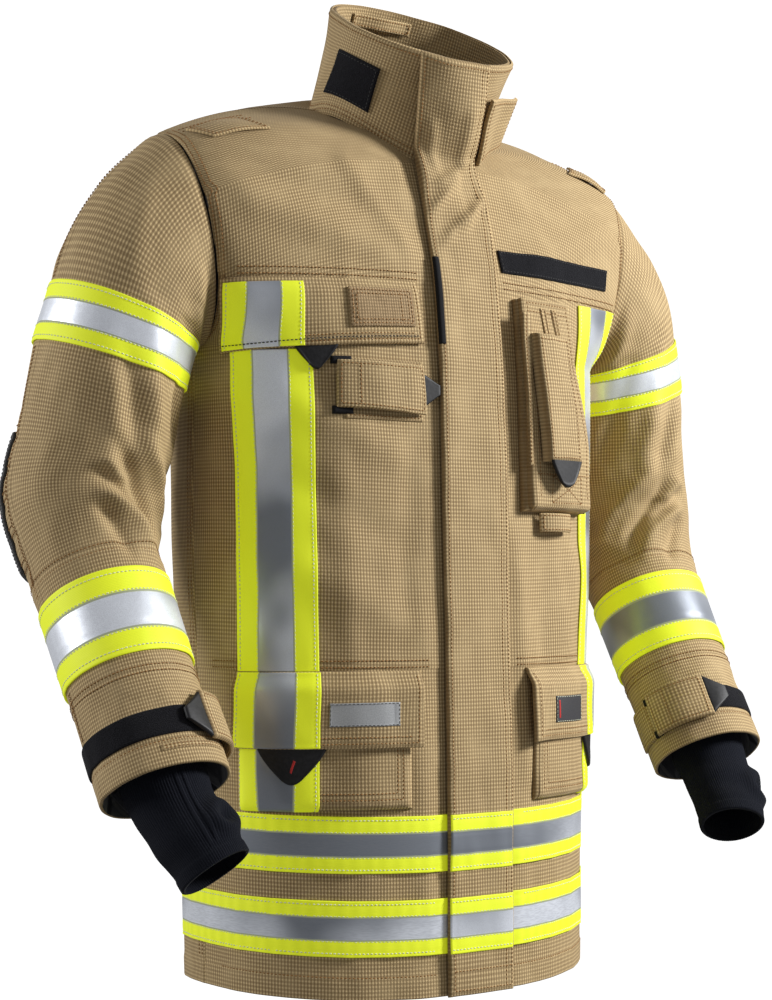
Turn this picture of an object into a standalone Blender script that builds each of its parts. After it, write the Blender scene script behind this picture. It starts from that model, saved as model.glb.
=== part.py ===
"""A hip-length protective work coat, held up at the hanger loop inside its collar.
The front faces -Y, the wearer's left is +X, and +Z is up. Units are metres.
Points are worked out from the neck (the middle of the collar seam) and moved by HANG on the way out."""
import math

import bpy
import numpy as np
from mathutils import Vector

# Driving dimensions
HANG = Vector((0.0, 0.030, 0.104))
SHELL = 0.002
LINER = 0.0012
TRIM = 0.0012
LIFT = 0.0018
FLAP = 0.003
WEB = 0.0025
ZIP_HALF_GAP = 0.0125
FLAP_RIGHT, FLAP_LEFT = -0.034, 0.039
FLAP_LIFT = 0.0045
FLAP_SPLIT_Z = -0.188
LOWER_POCKET_DEPTH = 0.012
LOWER_FLAP_LIFT = 0.0145
RADIO_DEPTH = 0.030
WAIST_Z = -0.530
HEM_Z = -0.817
UPPER_BAND_ROWS = (0.135, 0.195)
LOWER_BAND_ROWS = (0.046, 0.106)

# Body rows, hem to shoulder, as a share of the way up
ROW = np.array([0.0, 0.24, 0.46, 0.66, 0.75, 0.83, 0.90, 0.95, 1.0])
ARMPIT_ROW = 3
NECK_ROW = 6
ARMPIT = np.array([0.2175, 0.012, -0.235])
SHOULDER_TIP = np.array([0.258, 0.010, -0.040])
ARMHOLE_DEPTH = 0.066
NECK_RX, NECK_RY = 0.092, 0.075
NECK_FRONT_Z, NECK_BACK_Z = -0.055, 0.035
SIDE = [(0.197, 0.020, -0.815), (0.204, 0.020, -0.615), (0.2155, 0.018, -0.410), tuple(ARMPIT)]
FRONT_CENTRE = [(-0.128, -0.822), (-0.125, -0.620), (-0.121, -0.420), (-0.114, -0.240),
                (-0.106, -0.170), (-0.092, -0.110)]
BACK_CENTRE = [(0.160, -0.835), (0.162, -0.620), (0.163, -0.415), (0.164, -0.240),
               (0.158, -0.140), (0.136, -0.060)]
FRONT_ROUND = [2.4, 2.4, 2.4, 2.5, 2.5, 2.4, 2.3, 2.2, 2.1]
BACK_ROUND = [2.3, 2.3, 2.3, 2.4, 2.4, 2.3, 2.2, 2.1, 2.1]
ARMHOLE_TURN = [180, 140, 106, 70, 35, 0]

PANEL_ROWS = [0, 0.12, 0.24, 0.35, 0.46, 0.56, 0.66, 0.71, 0.76, 0.80, 0.84, 0.87, 0.90, 0.925,
              0.95, 0.975, 0.998]
LINER_ROWS = [0.03, 0.24, 0.46, 0.66, 0.72, 0.78, 0.84, 0.88, 0.92, 0.95, 0.98]

# Collar top ring
COLLAR_TOP_Y = -0.047
COLLAR_TOP_RX, COLLAR_TOP_RY = 0.093, 0.079
COLLAR_TOP_Z, COLLAR_TILT = 0.075, 0.57
COLLAR_SLIT = 0.16

# Sleeve sections of the left arm: share of the way down, centre, direction, half width, half depth
SLEEVE = [
    (0.00, (0.2385, 0.010, -0.1375), (0.979, 0.000, -0.203), 0.0985, 0.0650),
    (0.09, (0.2632, 0.011, -0.1600), (0.883, 0.000, -0.469), 0.0860, 0.0680),
    (0.18, (0.2795, 0.013, -0.1850), (0.669, 0.000, -0.743), 0.0765, 0.0700),
    (0.27, (0.2890, 0.016, -0.2120), (0.360, 0.070, -0.930), 0.0700, 0.0700),
    (0.38, (0.3010, 0.021, -0.2580), (0.280, 0.090, -0.955), 0.0700, 0.0700),
    (0.50, (0.3100, 0.028, -0.3220), (0.220, 0.090, -0.970), 0.0700, 0.0700),
    (0.61, (0.3225, 0.031, -0.3800), (0.080, -0.200, -0.975), 0.0670, 0.0700),
    (0.70, (0.3200, 0.010, -0.4300), (-0.030, -0.480, -0.876), 0.0600, 0.0590),
    (0.84, (0.3155, -0.046, -0.5270), (-0.039, -0.505, -0.862), 0.0560, 0.0545),
    (1.00, (0.3110, -0.107, -0.6240), (-0.039, -0.520, -0.853), 0.0570, 0.0520),
]
ELBOW_FROM, ELBOW_TO = 0.505, 0.705
ELBOW = (0.3225, 0.030, -0.3800)
WRIST = [
    (0.0, (0.3130, -0.088, -0.5900), (-0.040, -0.505, -0.862), 0.0390, 0.0360),
    (0.4, (0.3090, -0.116, -0.6340), (-0.140, -0.540, -0.830), 0.0365, 0.0330),
    (1.0, (0.2920, -0.160, -0.6860), (-0.300, -0.560, -0.772), 0.0320, 0.0290),
]

COLOURS = {
    "shell": ((0.42, 0.29, 0.15), 0.85, 0.0),
    "lining": ((0.30, 0.22, 0.12), 0.9, 0.0),
    "trim": ((0.70, 0.85, 0.03), 0.6, 0.0),
    "loop": ((0.01, 0.01, 0.013), 0.95, 0.0),
    "rubber": ((0.012, 0.012, 0.013), 0.5, 0.0),
    "knit": ((0.006, 0.008, 0.014), 0.9, 0.0),
    "pad": ((0.013, 0.013, 0.014), 0.7, 0.0),
    "tape": ((0.02, 0.02, 0.02), 0.85, 0.0),
    "metal": ((0.35, 0.33, 0.29), 0.35, 1.0),
}


def clear_scene():
    for thing in list(bpy.data.objects):
        bpy.data.objects.remove(thing, do_unlink=True)


def make_collection(name):
    group = bpy.data.collections.new(name)
    bpy.context.scene.collection.children.link(group)
    return group


def material(name, colour, roughness, metallic):
    made = bpy.data.materials.new(name)
    made.use_nodes = True
    shader = made.node_tree.nodes["Principled BSDF"]
    shader.inputs["Base Color"].default_value = (*colour, 1)
    shader.inputs["Roughness"].default_value = roughness
    shader.inputs["Metallic"].default_value = metallic
    return made


clear_scene()
COAT = make_collection("turnout_coat")


# The coat's surfaces as formulas


def smooth(keys, values, t):
    """Cubic through the key values; a value may be a row of numbers."""
    keys, values = np.asarray(keys, float), np.asarray(values, float)
    slope = np.gradient(values, keys, axis=0)
    i = int(np.clip(np.searchsorted(keys, t, side="right") - 1, 0, len(keys) - 2))
    h = keys[i + 1] - keys[i]
    u = (t - keys[i]) / h
    start, end = 2*u**3 - 3*u**2 + 1, 3*u**2 - 2*u**3
    return (start * values[i] + (u**3 - 2*u**2 + u) * h * slope[i]
            + end * values[i + 1] + (u**3 - u**2) * h * slope[i + 1])


def unit(v):
    return v / np.linalg.norm(v)


def neckline(turn):
    """Point of the collar seam: turn 0 at centre front, pi at centre back, + to the wearer's left."""
    c = math.cos(turn)
    z = (NECK_FRONT_Z if c > 0 else NECK_BACK_Z) * c * c
    return np.array([NECK_RX * math.sin(turn), -NECK_RY * c, z])


ARM_UP = unit(SHOULDER_TIP - ARMPIT)
ARM_OUT = np.array([ARM_UP[2], 0.0, -ARM_UP[0]])
ARMHOLE_CENTRE = (SHOULDER_TIP + ARMPIT) / 2
ARMHOLE_HALF = np.linalg.norm(SHOULDER_TIP - ARMPIT) / 2


def armhole(turn, front):
    """Point of the armhole seam: turn 0 at the shoulder tip, pi at the armpit."""
    across = ARMHOLE_DEPTH * math.sin(turn) * (-1 if front else 1)
    return ARMHOLE_CENTRE + ARM_UP * ARMHOLE_HALF * math.cos(turn) + np.array([0.0, across, 0.0])


def row_ends(front):
    """Centre and side points of each body row."""
    inner = [(0.0, y, z) for y, z in (FRONT_CENTRE if front else BACK_CENTRE)]
    start = 0.0 if front else math.pi
    inner += [tuple(neckline(start + (math.pi / 2 - start) * part)) for part in (0, 0.5, 1)]
    outer = SIDE[:ARMPIT_ROW] + [tuple(armhole(math.radians(a), front)) for a in ARMHOLE_TURN]
    return np.array(inner), np.array(outer)


ENDS = {True: row_ends(True), False: row_ends(False)}
ROUND = {True: FRONT_ROUND, False: BACK_ROUND}


def with_corner(values, corner, v):
    """Cubic along the rows, with a corner allowed at the given row."""
    if v <= ROW[corner]:
        return smooth(ROW[:corner + 1], values[:corner + 1], v)
    return smooth(ROW[corner:], values[corner:], v)


CURVES = {}


def row_curve(v, front):
    """One body row from the centre to the side as points, with the length to each."""
    key = (round(float(v), 6), front)
    if key not in CURVES:
        inner, outer = ENDS[front]
        c = with_corner(inner, NECK_ROW, v)
        s = with_corner(outer, ARMPIT_ROW, v)
        power = 2 / float(smooth(ROW, ROUND[front], v))
        turn = np.linspace(0, math.pi / 2, 160)
        out, fore = np.sin(turn) ** power, np.clip(np.cos(turn), 0, 1) ** power
        points = np.stack([c[0] + (s[0] - c[0]) * out, s[1] + (c[1] - s[1]) * fore,
                           c[2] + (s[2] - c[2]) * np.sin(turn) ** 2], -1)
        steps = np.linalg.norm(np.diff(points, axis=0), axis=1)
        CURVES[key] = points, np.concatenate([[0], np.cumsum(steps)])
    return CURVES[key]


def half_width(v, front=True):
    return row_curve(v, front)[1][-1]


def body(s, v, front=True):
    """Point s metres along row v from the centre, + to the wearer's left.
    Past the side seam the front carries on round the back."""
    points, length = row_curve(v, front)
    along = abs(s)
    if front and along > length[-1]:
        points, behind = row_curve(v, False)
        along, length = max(behind[-1] - (along - length[-1]), 0.0), behind
    found = np.array([np.interp(along, length, points[:, k]) for k in range(3)])
    found[0] *= -1 if s < 0 else 1
    return found


def row_at(s, z, front=True):
    """The row that passes height z at s."""
    low, high = 0.0, 1.0
    for _ in range(26):
        middle = (low + high) / 2
        if body(s, middle, front)[2] < z:
            low = middle
        else:
            high = middle
    return (low + high) / 2


def body_normal(s, v, front=True):
    step = 0.004
    lower, upper = max(v - step, 0), min(v + step, 1)
    end = half_width(v, front) if v > ROW[ARMPIT_ROW] else math.inf
    along = body(min(s + step, end), v, front) - body(max(s - step, -end), v, front)
    up = body(s, upper, front) - body(s, lower, front)
    return unit(np.cross(along, up)) * (1 if front else -1)


def on_body(s, v, lift, front=True):
    return body(s, v, front) + body_normal(s, v, front) * lift


def collar(turn, t):
    """Point of the collar: turn round the neck, t from the seam to the top edge."""
    y = COLLAR_TOP_Y - COLLAR_TOP_RY * math.cos(turn)
    z = COLLAR_TOP_Z + COLLAR_TILT * (y + 0.05)
    top = np.array([COLLAR_TOP_RX * math.sin(turn), y, z])
    return neckline(turn) * (1 - t) + top * t


def on_collar(turn, t, lift):
    step = 0.02
    along = collar(turn + step, t) - collar(turn - step, t)
    up = collar(turn, t + step) - collar(turn, t - step)
    return collar(turn, t) + unit(np.cross(along, up)) * lift


def tube_frame(sections, t):
    """Centre, outward and forward directions, direction and half sizes of a tube's section."""
    keys = [section[0] for section in sections]
    rows = [[*section[1], *section[2], section[3], section[4]] for section in sections]
    found = smooth(keys, rows, t)
    way = unit(found[3:6])
    out = unit(np.array([-way[2], 0.0, way[0]]))
    return found[:3], out, np.cross(way, out), way, found[6], found[7]


def on_tube(sections, t, turn, lift, left):
    """Point of a tube's section: turn 0 on the outside of the arm, a quarter turn at the front."""
    centre, out, fore, _, half, deep = tube_frame(sections, t)
    point = centre + out * (half + lift) * math.cos(turn) + fore * (deep + lift) * math.sin(turn)
    return point if left else point * np.array([-1, 1, 1])


# Pieces


class Piece:
    """Collects what a named object needs."""

    def __init__(self, name, points, faces, look):
        mesh = bpy.data.meshes.new(name)
        mesh.from_pydata([Vector(p) - HANG for p in points], [], faces)
        mesh.materials.append(LOOKS[look])
        self.made = bpy.data.objects.new(name, mesh)
        COAT.objects.link(self.made)

    def thicken(self, thickness, outward=True):
        wall = self.made.modifiers.new("thickness", "SOLIDIFY")
        wall.thickness = thickness
        wall.offset = 1 if outward else -1
        return self.made


LOOKS = {name: material(name, *values) for name, values in COLOURS.items()}


def grid_faces(columns, rows, closed=False):
    faces = []
    for i in range(columns if closed else columns - 1):
        for j in range(rows - 1):
            a, b = i * rows, ((i + 1) % columns) * rows
            faces.append((a + j, b + j, b + j + 1, a + j + 1))
    return faces


def sheet(name, look, columns, rows, place, thickness, outward=True, closed=False):
    """A thick cloth sheet; place(i, j) gives the point of column i and row j as shares 0 to 1."""
    last = columns if closed else columns - 1
    points = [place(i / last, j / (rows - 1)) for i in range(columns) for j in range(rows)]
    piece = Piece(name, points, grid_faces(columns, rows, closed), look)
    return piece.thicken(thickness, outward)


def blend(a, b, t):
    return a + (b - a) * t


def patch(name, look, corners, lift, thickness, columns=4, rows=3):
    """A sheet laid on the front. Corners (s, z) run from its low right (-s) one, anticlockwise."""
    (s0, z0), (s1, z1), (s2, z2), (s3, z3) = corners

    def place(i, j):
        s = blend(blend(s0, s1, i), blend(s3, s2, i), j)
        z = blend(blend(z0, z1, i), blend(z3, z2, i), j)
        return on_body(s, row_at(s, z), lift)

    return sheet(name, look, columns, rows, place, thickness)


def pull(name, s0, s1, top_z, drop, lift, thickness=0.003):
    """A rubber finger pull: a tapered tongue with a round tip."""
    middle, half = (s0 + s1) / 2, (s1 - s0) / 2

    def place(i, j):
        taper = 1 - 0.72 * (1 - j) ** 1.3
        s = middle + half * taper * (2 * i - 1)
        z = top_z - drop * (1 - j) + 0.004 * (1 - j) * (2 * i - 1) ** 2
        return on_body(s, row_at(s, z), lift)

    return sheet(name, "rubber", 4, 4, place, thickness)


def box_pocket(name, s0, s1, z0, z1, depth, wall=0.0018):
    """A bellows pocket: a tray with its open back on the shell and an open top."""
    columns, rows = 6, 6
    margin = 0.006

    def place(i, j):
        first, last, floor = i < 1e-6, i > 1 - 1e-6, j < 1e-6
        inset = 0 if first or last else margin
        share = (i * (columns - 1) - 1) / (columns - 3)
        s = s0 if first else s1 if last else blend(s0 + inset, s1 - inset, share)
        up = 0 if floor else (j * (rows - 1) - 1) / (rows - 2)
        z = z0 if floor else blend(z0 + margin, z1, up)
        return on_body(s, row_at(s, z), LIFT + wall if first or last or floor else depth)

    return sheet(name, "shell", columns, rows, place, wall, outward=False)


def front_panel(side):
    left = side == "left"
    columns, rows = 13, len(PANEL_ROWS)

    def place(i, j):
        v = PANEL_ROWS[round(j * (rows - 1))]
        gap = ZIP_HALF_GAP if v < 0.87 else blend(ZIP_HALF_GAP, 0.001, min((v - 0.87) / 0.05, 1))
        s = blend(gap, half_width(v) - 0.0006, i if left else 1 - i)
        return body(s if left else -s, v)

    return sheet(f"front_panel_{side}", "shell", columns, rows, place, SHELL, outward=False)


def welded(points, faces):
    """Points in the same place made one, so that two halves join where they meet."""
    index, kept, place_of = {}, [], []
    for point in points:
        key = tuple(round(float(x), 7) + 0.0 for x in point)
        if key not in index:
            index[key] = len(kept)
            kept.append(point)
        place_of.append(index[key])
    return kept, [tuple(place_of[i] for i in face) for face in faces]


def mirrored(name, look, columns, rows, place, thickness, skip=lambda i, j: False):
    """A thick sheet from its left half and that half's mirror image, joined on the centre line."""
    points = [place(i, j) for i in range(columns) for j in range(rows)]
    count = len(points)
    faces = []
    for i in range(columns - 1):
        for j in range(rows - 1):
            if not skip(i, j):
                a, b = i * rows + j, (i + 1) * rows + j
                faces.append((a, a + 1, b + 1, b))
                faces.append((count + a, count + b, count + b + 1, count + a + 1))
    flip = np.array([-1, 1, 1])
    points, faces = welded(points + [p * flip for p in points], faces)
    return Piece(name, points, faces, look).thicken(thickness, outward=False)


def back_panel():
    columns = 12

    def place(i, j):
        v = PANEL_ROWS[j]
        return body((half_width(v, False) - 0.0006) * i / (columns - 1), v, False)

    mirrored("back_panel", "shell", columns, len(PANEL_ROWS), place, SHELL)


def body_liner():
    """One loose inner layer from the right front edge round the back to the left front edge."""
    lift, side, back = -0.0065, 8, 8

    def place(i, j):
        v = LINER_ROWS[j]
        hem = 0.001 if v < 0.64 else 0.006
        if i < back:
            return on_body((half_width(v, False) - hem) * i / (back - 1), v, lift, False)
        gap = 0.020 if v < 0.87 else blend(0.020, 0.004, min((v - 0.87) / 0.05, 1))
        return on_body(blend(half_width(v) - hem, gap, (i - back) / (side - 1)), v, lift)

    def armhole_gap(i, j):
        return i == back - 1 and LINER_ROWS[j + 1] > ROW[ARMPIT_ROW]

    mirrored("body_liner", "lining", back + side, len(LINER_ROWS), place, LINER, armhole_gap)


def collar_pieces():
    def shell(i, j):
        return collar(blend(COLLAR_SLIT, 2 * math.pi - COLLAR_SLIT, i), blend(0.05, 1, j))

    def lining(i, j):
        turn = blend(COLLAR_SLIT, 2 * math.pi - COLLAR_SLIT, i)
        return on_collar(turn, blend(0.08, 0.985, j), -0.0045)

    def loop(i, j):
        return on_collar(blend(-1.52, -1.07, i), blend(0.30, 0.80, j), LIFT)

    def strap(i, j):
        return on_collar(blend(0.52, 1.02, i), blend(0.06, 0.56, j), 0.003)

    def hanger(i, j):
        turn = math.pi + blend(-0.40, 0.40, 1 - i)
        rise = 0.004 + 0.008 * math.sin(math.pi * i)
        return on_collar(turn, blend(0.80, 0.92, j), -0.0065 - rise)

    sheet("collar_shell", "shell", 29, 5, shell, SHELL, outward=False)
    sheet("collar_lining", "lining", 25, 4, lining, LINER, outward=False)
    sheet("collar_loop_patch", "loop", 5, 3, loop, TRIM)
    sheet("throat_strap", "shell", 5, 3, strap, 0.004)
    sheet("hanger_loop", "shell", 8, 2, hanger, 0.0015)


def storm_flap():
    patch("storm_flap", "shell", [(FLAP_RIGHT, HEM_Z), (FLAP_LEFT, HEM_Z), (FLAP_LEFT, FLAP_SPLIT_Z),
          (FLAP_RIGHT, FLAP_SPLIT_Z)], FLAP_LIFT, FLAP, 5, 10)
    patch("storm_flap_pull", "loop", [(FLAP_RIGHT - 0.0065, -0.252), (FLAP_RIGHT - 0.0005, -0.252),
          (FLAP_RIGHT - 0.0005, -0.196), (FLAP_RIGHT - 0.0065, -0.196)], FLAP_LIFT, FLAP, 2, 3)
    turns = (-0.64, 0.30)
    levels = [-0.184, -0.150, -0.118, -0.088]

    def place(i, j):
        k = round(j * 8)
        if k < len(levels):
            s = blend(FLAP_RIGHT, FLAP_LEFT, i)
            return on_body(s, row_at(s, levels[k]), FLAP_LIFT)
        t = (0.16, 0.32, 0.52, 0.76, 1.02)[k - len(levels)]
        low, high = (-0.40, 0.40), turns
        turn = blend(blend(low[0], high[0], t), blend(low[1], high[1], t), i)
        return on_collar(turn, t, FLAP_LIFT)

    sheet("storm_flap_top", "shell", 6, 9, place, FLAP)


def hem_bands():
    for name, (low, high) in (("upper", UPPER_BAND_ROWS), ("lower", LOWER_BAND_ROWS)):
        def around(i, j, low=low, high=high):
            v = blend(low, high, j)
            whole = 2 * (half_width(v) + half_width(v, False))
            s = blend(0.046, whole - 0.042, i)
            return on_body(s if s < whole / 2 else s - whole, v, LIFT)

        def across(i, j, low=low, high=high):
            return on_body(blend(FLAP_RIGHT + 0.001, FLAP_LEFT - 0.003, i), blend(low, high, j),
                           FLAP_LIFT + FLAP + 0.0008)

        sheet(f"hem_band_{name}", "trim", 44, 2, around, TRIM)
        sheet(f"flap_band_{name}", "trim", 5, 2, across, TRIM)


def zip_pieces():
    def tape(side):
        def place(i, j):
            s = blend(0.0062, 0.0105, i)
            v = blend(0.02, 0.80, j)
            return on_body(s if side == "left" else -blend(0.0105, 0.0062, i), v, -0.0008)
        return place

    for side in ("right", "left"):
        sheet(f"zip_tape_{side}", "tape", 2, 12, tape(side), 0.0012)

    def slider(i, j):
        s = blend(-0.0048, 0.0048, i)
        return on_body(s, row_at(s, blend(-0.262, -0.236, j)), -0.0015)

    sheet("zip_slider", "metal", 2, 2, slider, 0.004)


def chest_pieces():
    patch("chest_flap", "shell", [(-0.241, -0.240), (-0.050, -0.238), (-0.050, -0.172),
          (-0.247, -0.177)], 0.003, FLAP, 10, 3)
    patch("chest_flap_trim", "trim", [(-0.238, -0.239), (-0.162, -0.239), (-0.167, -0.178),
          (-0.243, -0.180)], 0.0072, TRIM, 8, 3)
    pull("chest_flap_pull", -0.176, -0.136, -0.2415, 0.0185, 0.0066)
    patch("mic_strap", "shell", [(-0.140, -0.297), (-0.051, -0.297), (-0.051, -0.252),
          (-0.140, -0.252)], 0.003, WEB, 6, 2)
    patch("mic_strap_pull", "rubber", [(-0.0503, -0.279), (-0.036, -0.276), (-0.036, -0.271),
          (-0.0503, -0.264)], 0.003, WEB, 2, 2)
    patch("name_loop_strip", "loop", [(0.050, -0.156), (0.209, -0.158), (0.213, -0.136),
          (0.048, -0.134)], LIFT, TRIM, 10, 2)


def radio_pieces():
    box_pocket("radio_pocket", 0.060, 0.150, -0.383, -0.188, RADIO_DEPTH)
    patch("radio_flap", "shell", [(0.073, -0.333), (0.112, -0.333), (0.105, -0.212),
          (0.066, -0.212)], RADIO_DEPTH + 0.003, FLAP, 4, 4)
    pull("radio_flap_pull", 0.077, 0.108, -0.3345, 0.022, RADIO_DEPTH + 0.003)
    patch("radio_strap", "shell", [(0.088, -0.400), (0.122, -0.400), (0.122, -0.3845),
          (0.088, -0.3845)], 0.012, WEB, 3, 2)


def lower_pieces():
    for side, way in (("right", -1), ("left", 1)):
        def line(points, way=way):
            turned = [(s * way, z) for s, z in points]
            return turned if way > 0 else [turned[1], turned[0], turned[3], turned[2]]

        low, high = sorted((0.072 * way, 0.224 * way))
        box_pocket(f"lower_pocket_{side}", low, high, -0.649, -0.540, LOWER_POCKET_DEPTH)
        patch(f"lower_flap_{side}", "shell", line([(0.062, -0.597), (0.234, -0.597),
              (0.232, WAIST_Z), (0.060, WAIST_Z)]), LOWER_FLAP_LIFT, FLAP, 9, 3)
        ends = sorted((0.147 * way, 0.207 * way))
        pull(f"lower_flap_pull_{side}", *ends, -0.5985, 0.030, LOWER_FLAP_LIFT)
        patch(f"front_stripe_{side}", "trim", line([(0.154, -0.526), (0.228, -0.526),
              (0.233, -0.246 if way < 0 else -0.176), (0.157, -0.246 if way < 0 else -0.174)]),
              0.0026, TRIM, 5, 10)


def shoulder_loops():
    for side, way in (("right", -1), ("left", 1)):
        def place(i, j, way=way):
            s = blend(0.122, 0.166, i if way > 0 else 1 - i)
            v = blend(0.945, 0.975, j)
            rise = 0.0015 + 0.004 * math.sin(math.pi * i)
            return on_body(s * way, v, rise)

        sheet(f"shoulder_loop_{side}", "shell", 6, 2, place, 0.0015)


def sleeve(side):
    left = side == "left"

    def tube(name, look, sections, t0, t1, rows, lift=0.0, thickness=SHELL, columns=20, out=False):
        def place(i, j):
            turn = 2 * math.pi * (-i if left else i)
            return on_tube(sections, blend(t0, t1, 1 - j), turn, lift, left)
        return sheet(f"{name}_{side}", look, columns, rows, place, thickness, out, closed=True)

    tube("sleeve_upper", "shell", SLEEVE, 0.010, ELBOW_FROM, 8)
    tube("elbow_section", "shell", SLEEVE, ELBOW_FROM + 0.003, ELBOW_TO - 0.003, 5)
    tube("sleeve_lower", "shell", SLEEVE, ELBOW_TO, 1.0, 5)
    tube("sleeve_band_upper", "trim", SLEEVE, 0.262, 0.376, 3, 0.0016, TRIM, out=True)
    tube("sleeve_band_lower", "trim", SLEEVE, 0.752, 0.850, 3, 0.0013, TRIM, out=True)
    tube("cuff_loop_strip", "loop", SLEEVE, 0.925, 0.960, 2, 0.0013, TRIM, out=True)
    tube("wristlet", "knit", WRIST, 0.0, 1.0, 6, 0.0, 0.0025, columns=16)

    def part(name, look, t0, t1, a0, a1, lift, thickness, columns=4, rows=3):
        def place(i, j):
            turn = blend(a0, a1, 1 - i if left else i)
            return on_tube(SLEEVE, blend(t0, t1, 1 - j), turn, lift, left)
        sheet(f"{name}_{side}", look, columns, rows, place, thickness)

    part("elbow_pad", "pad", 0.515, 0.695, -2.30, -0.45, 0.0016, 0.003, 8, 5)
    part("cuff_strap", "shell", 0.918, 0.967, 2.00, 3.02, 0.0046, WEB, 6, 2)
    part("cuff_strap_pull", "rubber", 0.926, 0.959, 1.68, 1.985, 0.0046, WEB, 3, 2)


def joint(name, point, axis, nodes):
    """An empty on the joint's axis, its Z along the axis, that carries the moving pieces."""
    empty = bpy.data.objects.new(name, None)
    empty.location = Vector(point) - HANG
    empty.rotation_euler = Vector(axis).to_track_quat("Z", "Y").to_euler()
    COAT.objects.link(empty)
    bpy.context.view_layer.update()
    for node in nodes:
        moving = bpy.data.objects[node]
        moving.parent = empty
        moving.matrix_parent_inverse = empty.matrix_world.inverted()


def opening_axis(edge, reach, outward):
    """The edge's direction, turned so that a positive angle lifts the free end outwards."""
    return unit(edge) * (1 if np.dot(edge, np.cross(reach, outward)) > 0 else -1)


def hinge(name, ends, reach, outward, nodes):
    start, end = ends
    joint(name, (start + end) / 2, opening_axis(end - start, reach, outward), nodes)


def top_edge_hinge(name, s0, s1, z, lift, nodes):
    """A flap's hinge: parallel to the chord of its top edge, on the edge's outermost point."""
    edge = [on_body(s, row_at(s, z), lift) for s in np.linspace(s0, s1, 25)]
    along = unit(edge[-1] - edge[0])
    outward = unit(np.cross(along, np.array([0.0, 0.0, 1.0])))
    point = max(edge, key=lambda p: float(np.dot(p, outward)))
    joint(name, point, opening_axis(along, np.array([0.0, 0.0, -1.0]), outward), nodes)


def body_joints():
    flap_lift = FLAP_LIFT + FLAP / 2
    ends = [on_body(FLAP_LEFT, row_at(FLAP_LEFT, z), flap_lift) for z in (-0.80, -0.20)]
    front = np.array([0.0, -1.0, 0.0])
    hinge("storm_flap_hinge", ends, np.array([-1.0, 0.0, 0.0]), front,
          ["storm_flap", "storm_flap_pull", "flap_band_upper", "flap_band_lower"])
    top, bottom = (body(0.0, row_at(0.0, z)) for z in (-0.25, -0.78))
    joint("zip_slide", top, unit(bottom - top), ["zip_slider"])
    top_edge_hinge("chest_flap_hinge", -0.247, -0.050, -0.174, 0.0065,
                   ["chest_flap", "chest_flap_trim", "chest_flap_pull"])
    top_edge_hinge("lower_flap_hinge_right", -0.232, -0.060, WAIST_Z, LOWER_FLAP_LIFT + FLAP,
                   ["lower_flap_right", "lower_flap_pull_right"])
    top_edge_hinge("lower_flap_hinge_left", 0.060, 0.232, WAIST_Z, LOWER_FLAP_LIFT + FLAP,
                   ["lower_flap_left", "lower_flap_pull_left"])
    top_edge_hinge("radio_flap_hinge", 0.066, 0.105, -0.212, RADIO_DEPTH + 0.0055,
                   ["radio_flap", "radio_flap_pull"])
    ends = [on_body(-0.1405, row_at(-0.1405, z), 0.0045) for z in (-0.297, -0.252)]
    hinge("mic_strap_hinge", ends, np.array([1.0, 0.0, 0.0]), front, ["mic_strap", "mic_strap_pull"])
    ends = [on_collar(0.515, t, 0.005) for t in (0.06, 0.56)]
    hinge("throat_strap_hinge", ends, np.array([1.0, 0.0, 0.0]), front, ["throat_strap"])


def arm_joints(side):
    left = side == "left"
    flip = np.array([1.0 if left else -1.0, 1.0, 1.0])
    forward = np.array([-ARM_OUT[0], 0.0, ARM_OUT[2] * (-1 if left else 1)])
    pads = [f"elbow_section_{side}", f"elbow_pad_{side}"]
    joint(f"shoulder_swing_{side}", ARMHOLE_CENTRE * flip, forward,
          [f"sleeve_upper_{side}", f"sleeve_band_upper_{side}"] + pads)
    upper, lower = (np.array(SLEEVE[k][2]) * flip for k in (5, 8))
    joint(f"elbow_bend_{side}", np.array(ELBOW) * flip, unit(np.cross(upper, lower)),
          [f"{node}_{side}" for node in ("sleeve_lower", "sleeve_band_lower", "cuff_loop_strip", "wristlet")])
    ends = [on_tube(SLEEVE, t, 3.03, 0.0058, left) for t in (0.918, 0.967)]
    reach = on_tube(SLEEVE, 0.94, 2.8, 0.0, left) - on_tube(SLEEVE, 0.94, 3.03, 0.0, left)
    outward = on_tube(SLEEVE, 0.94, 3.03, 0.01, left) - on_tube(SLEEVE, 0.94, 3.03, 0.0, left)
    hinge(f"cuff_strap_hinge_{side}", ends, reach, outward, [f"cuff_strap_{side}", f"cuff_strap_pull_{side}"])


front_panel("right")
front_panel("left")
back_panel()
body_liner()
collar_pieces()
storm_flap()
hem_bands()
zip_pieces()
chest_pieces()
radio_pieces()
lower_pieces()
shoulder_loops()
sleeve("right")
sleeve("left")
body_joints()
arm_joints("right")
arm_joints("left")
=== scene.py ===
"""The looks of a hip-length protective work coat: ripstop shell, reflective trim, loop pile, rubber pulls,
stitching and knitted wristlets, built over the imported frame.
Points are worked out from the neck (the middle of the collar seam) and moved by HANG on the way out.
The front faces -Y and the wearer's left is +X; right and left below are the wearer's."""
import math

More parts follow.
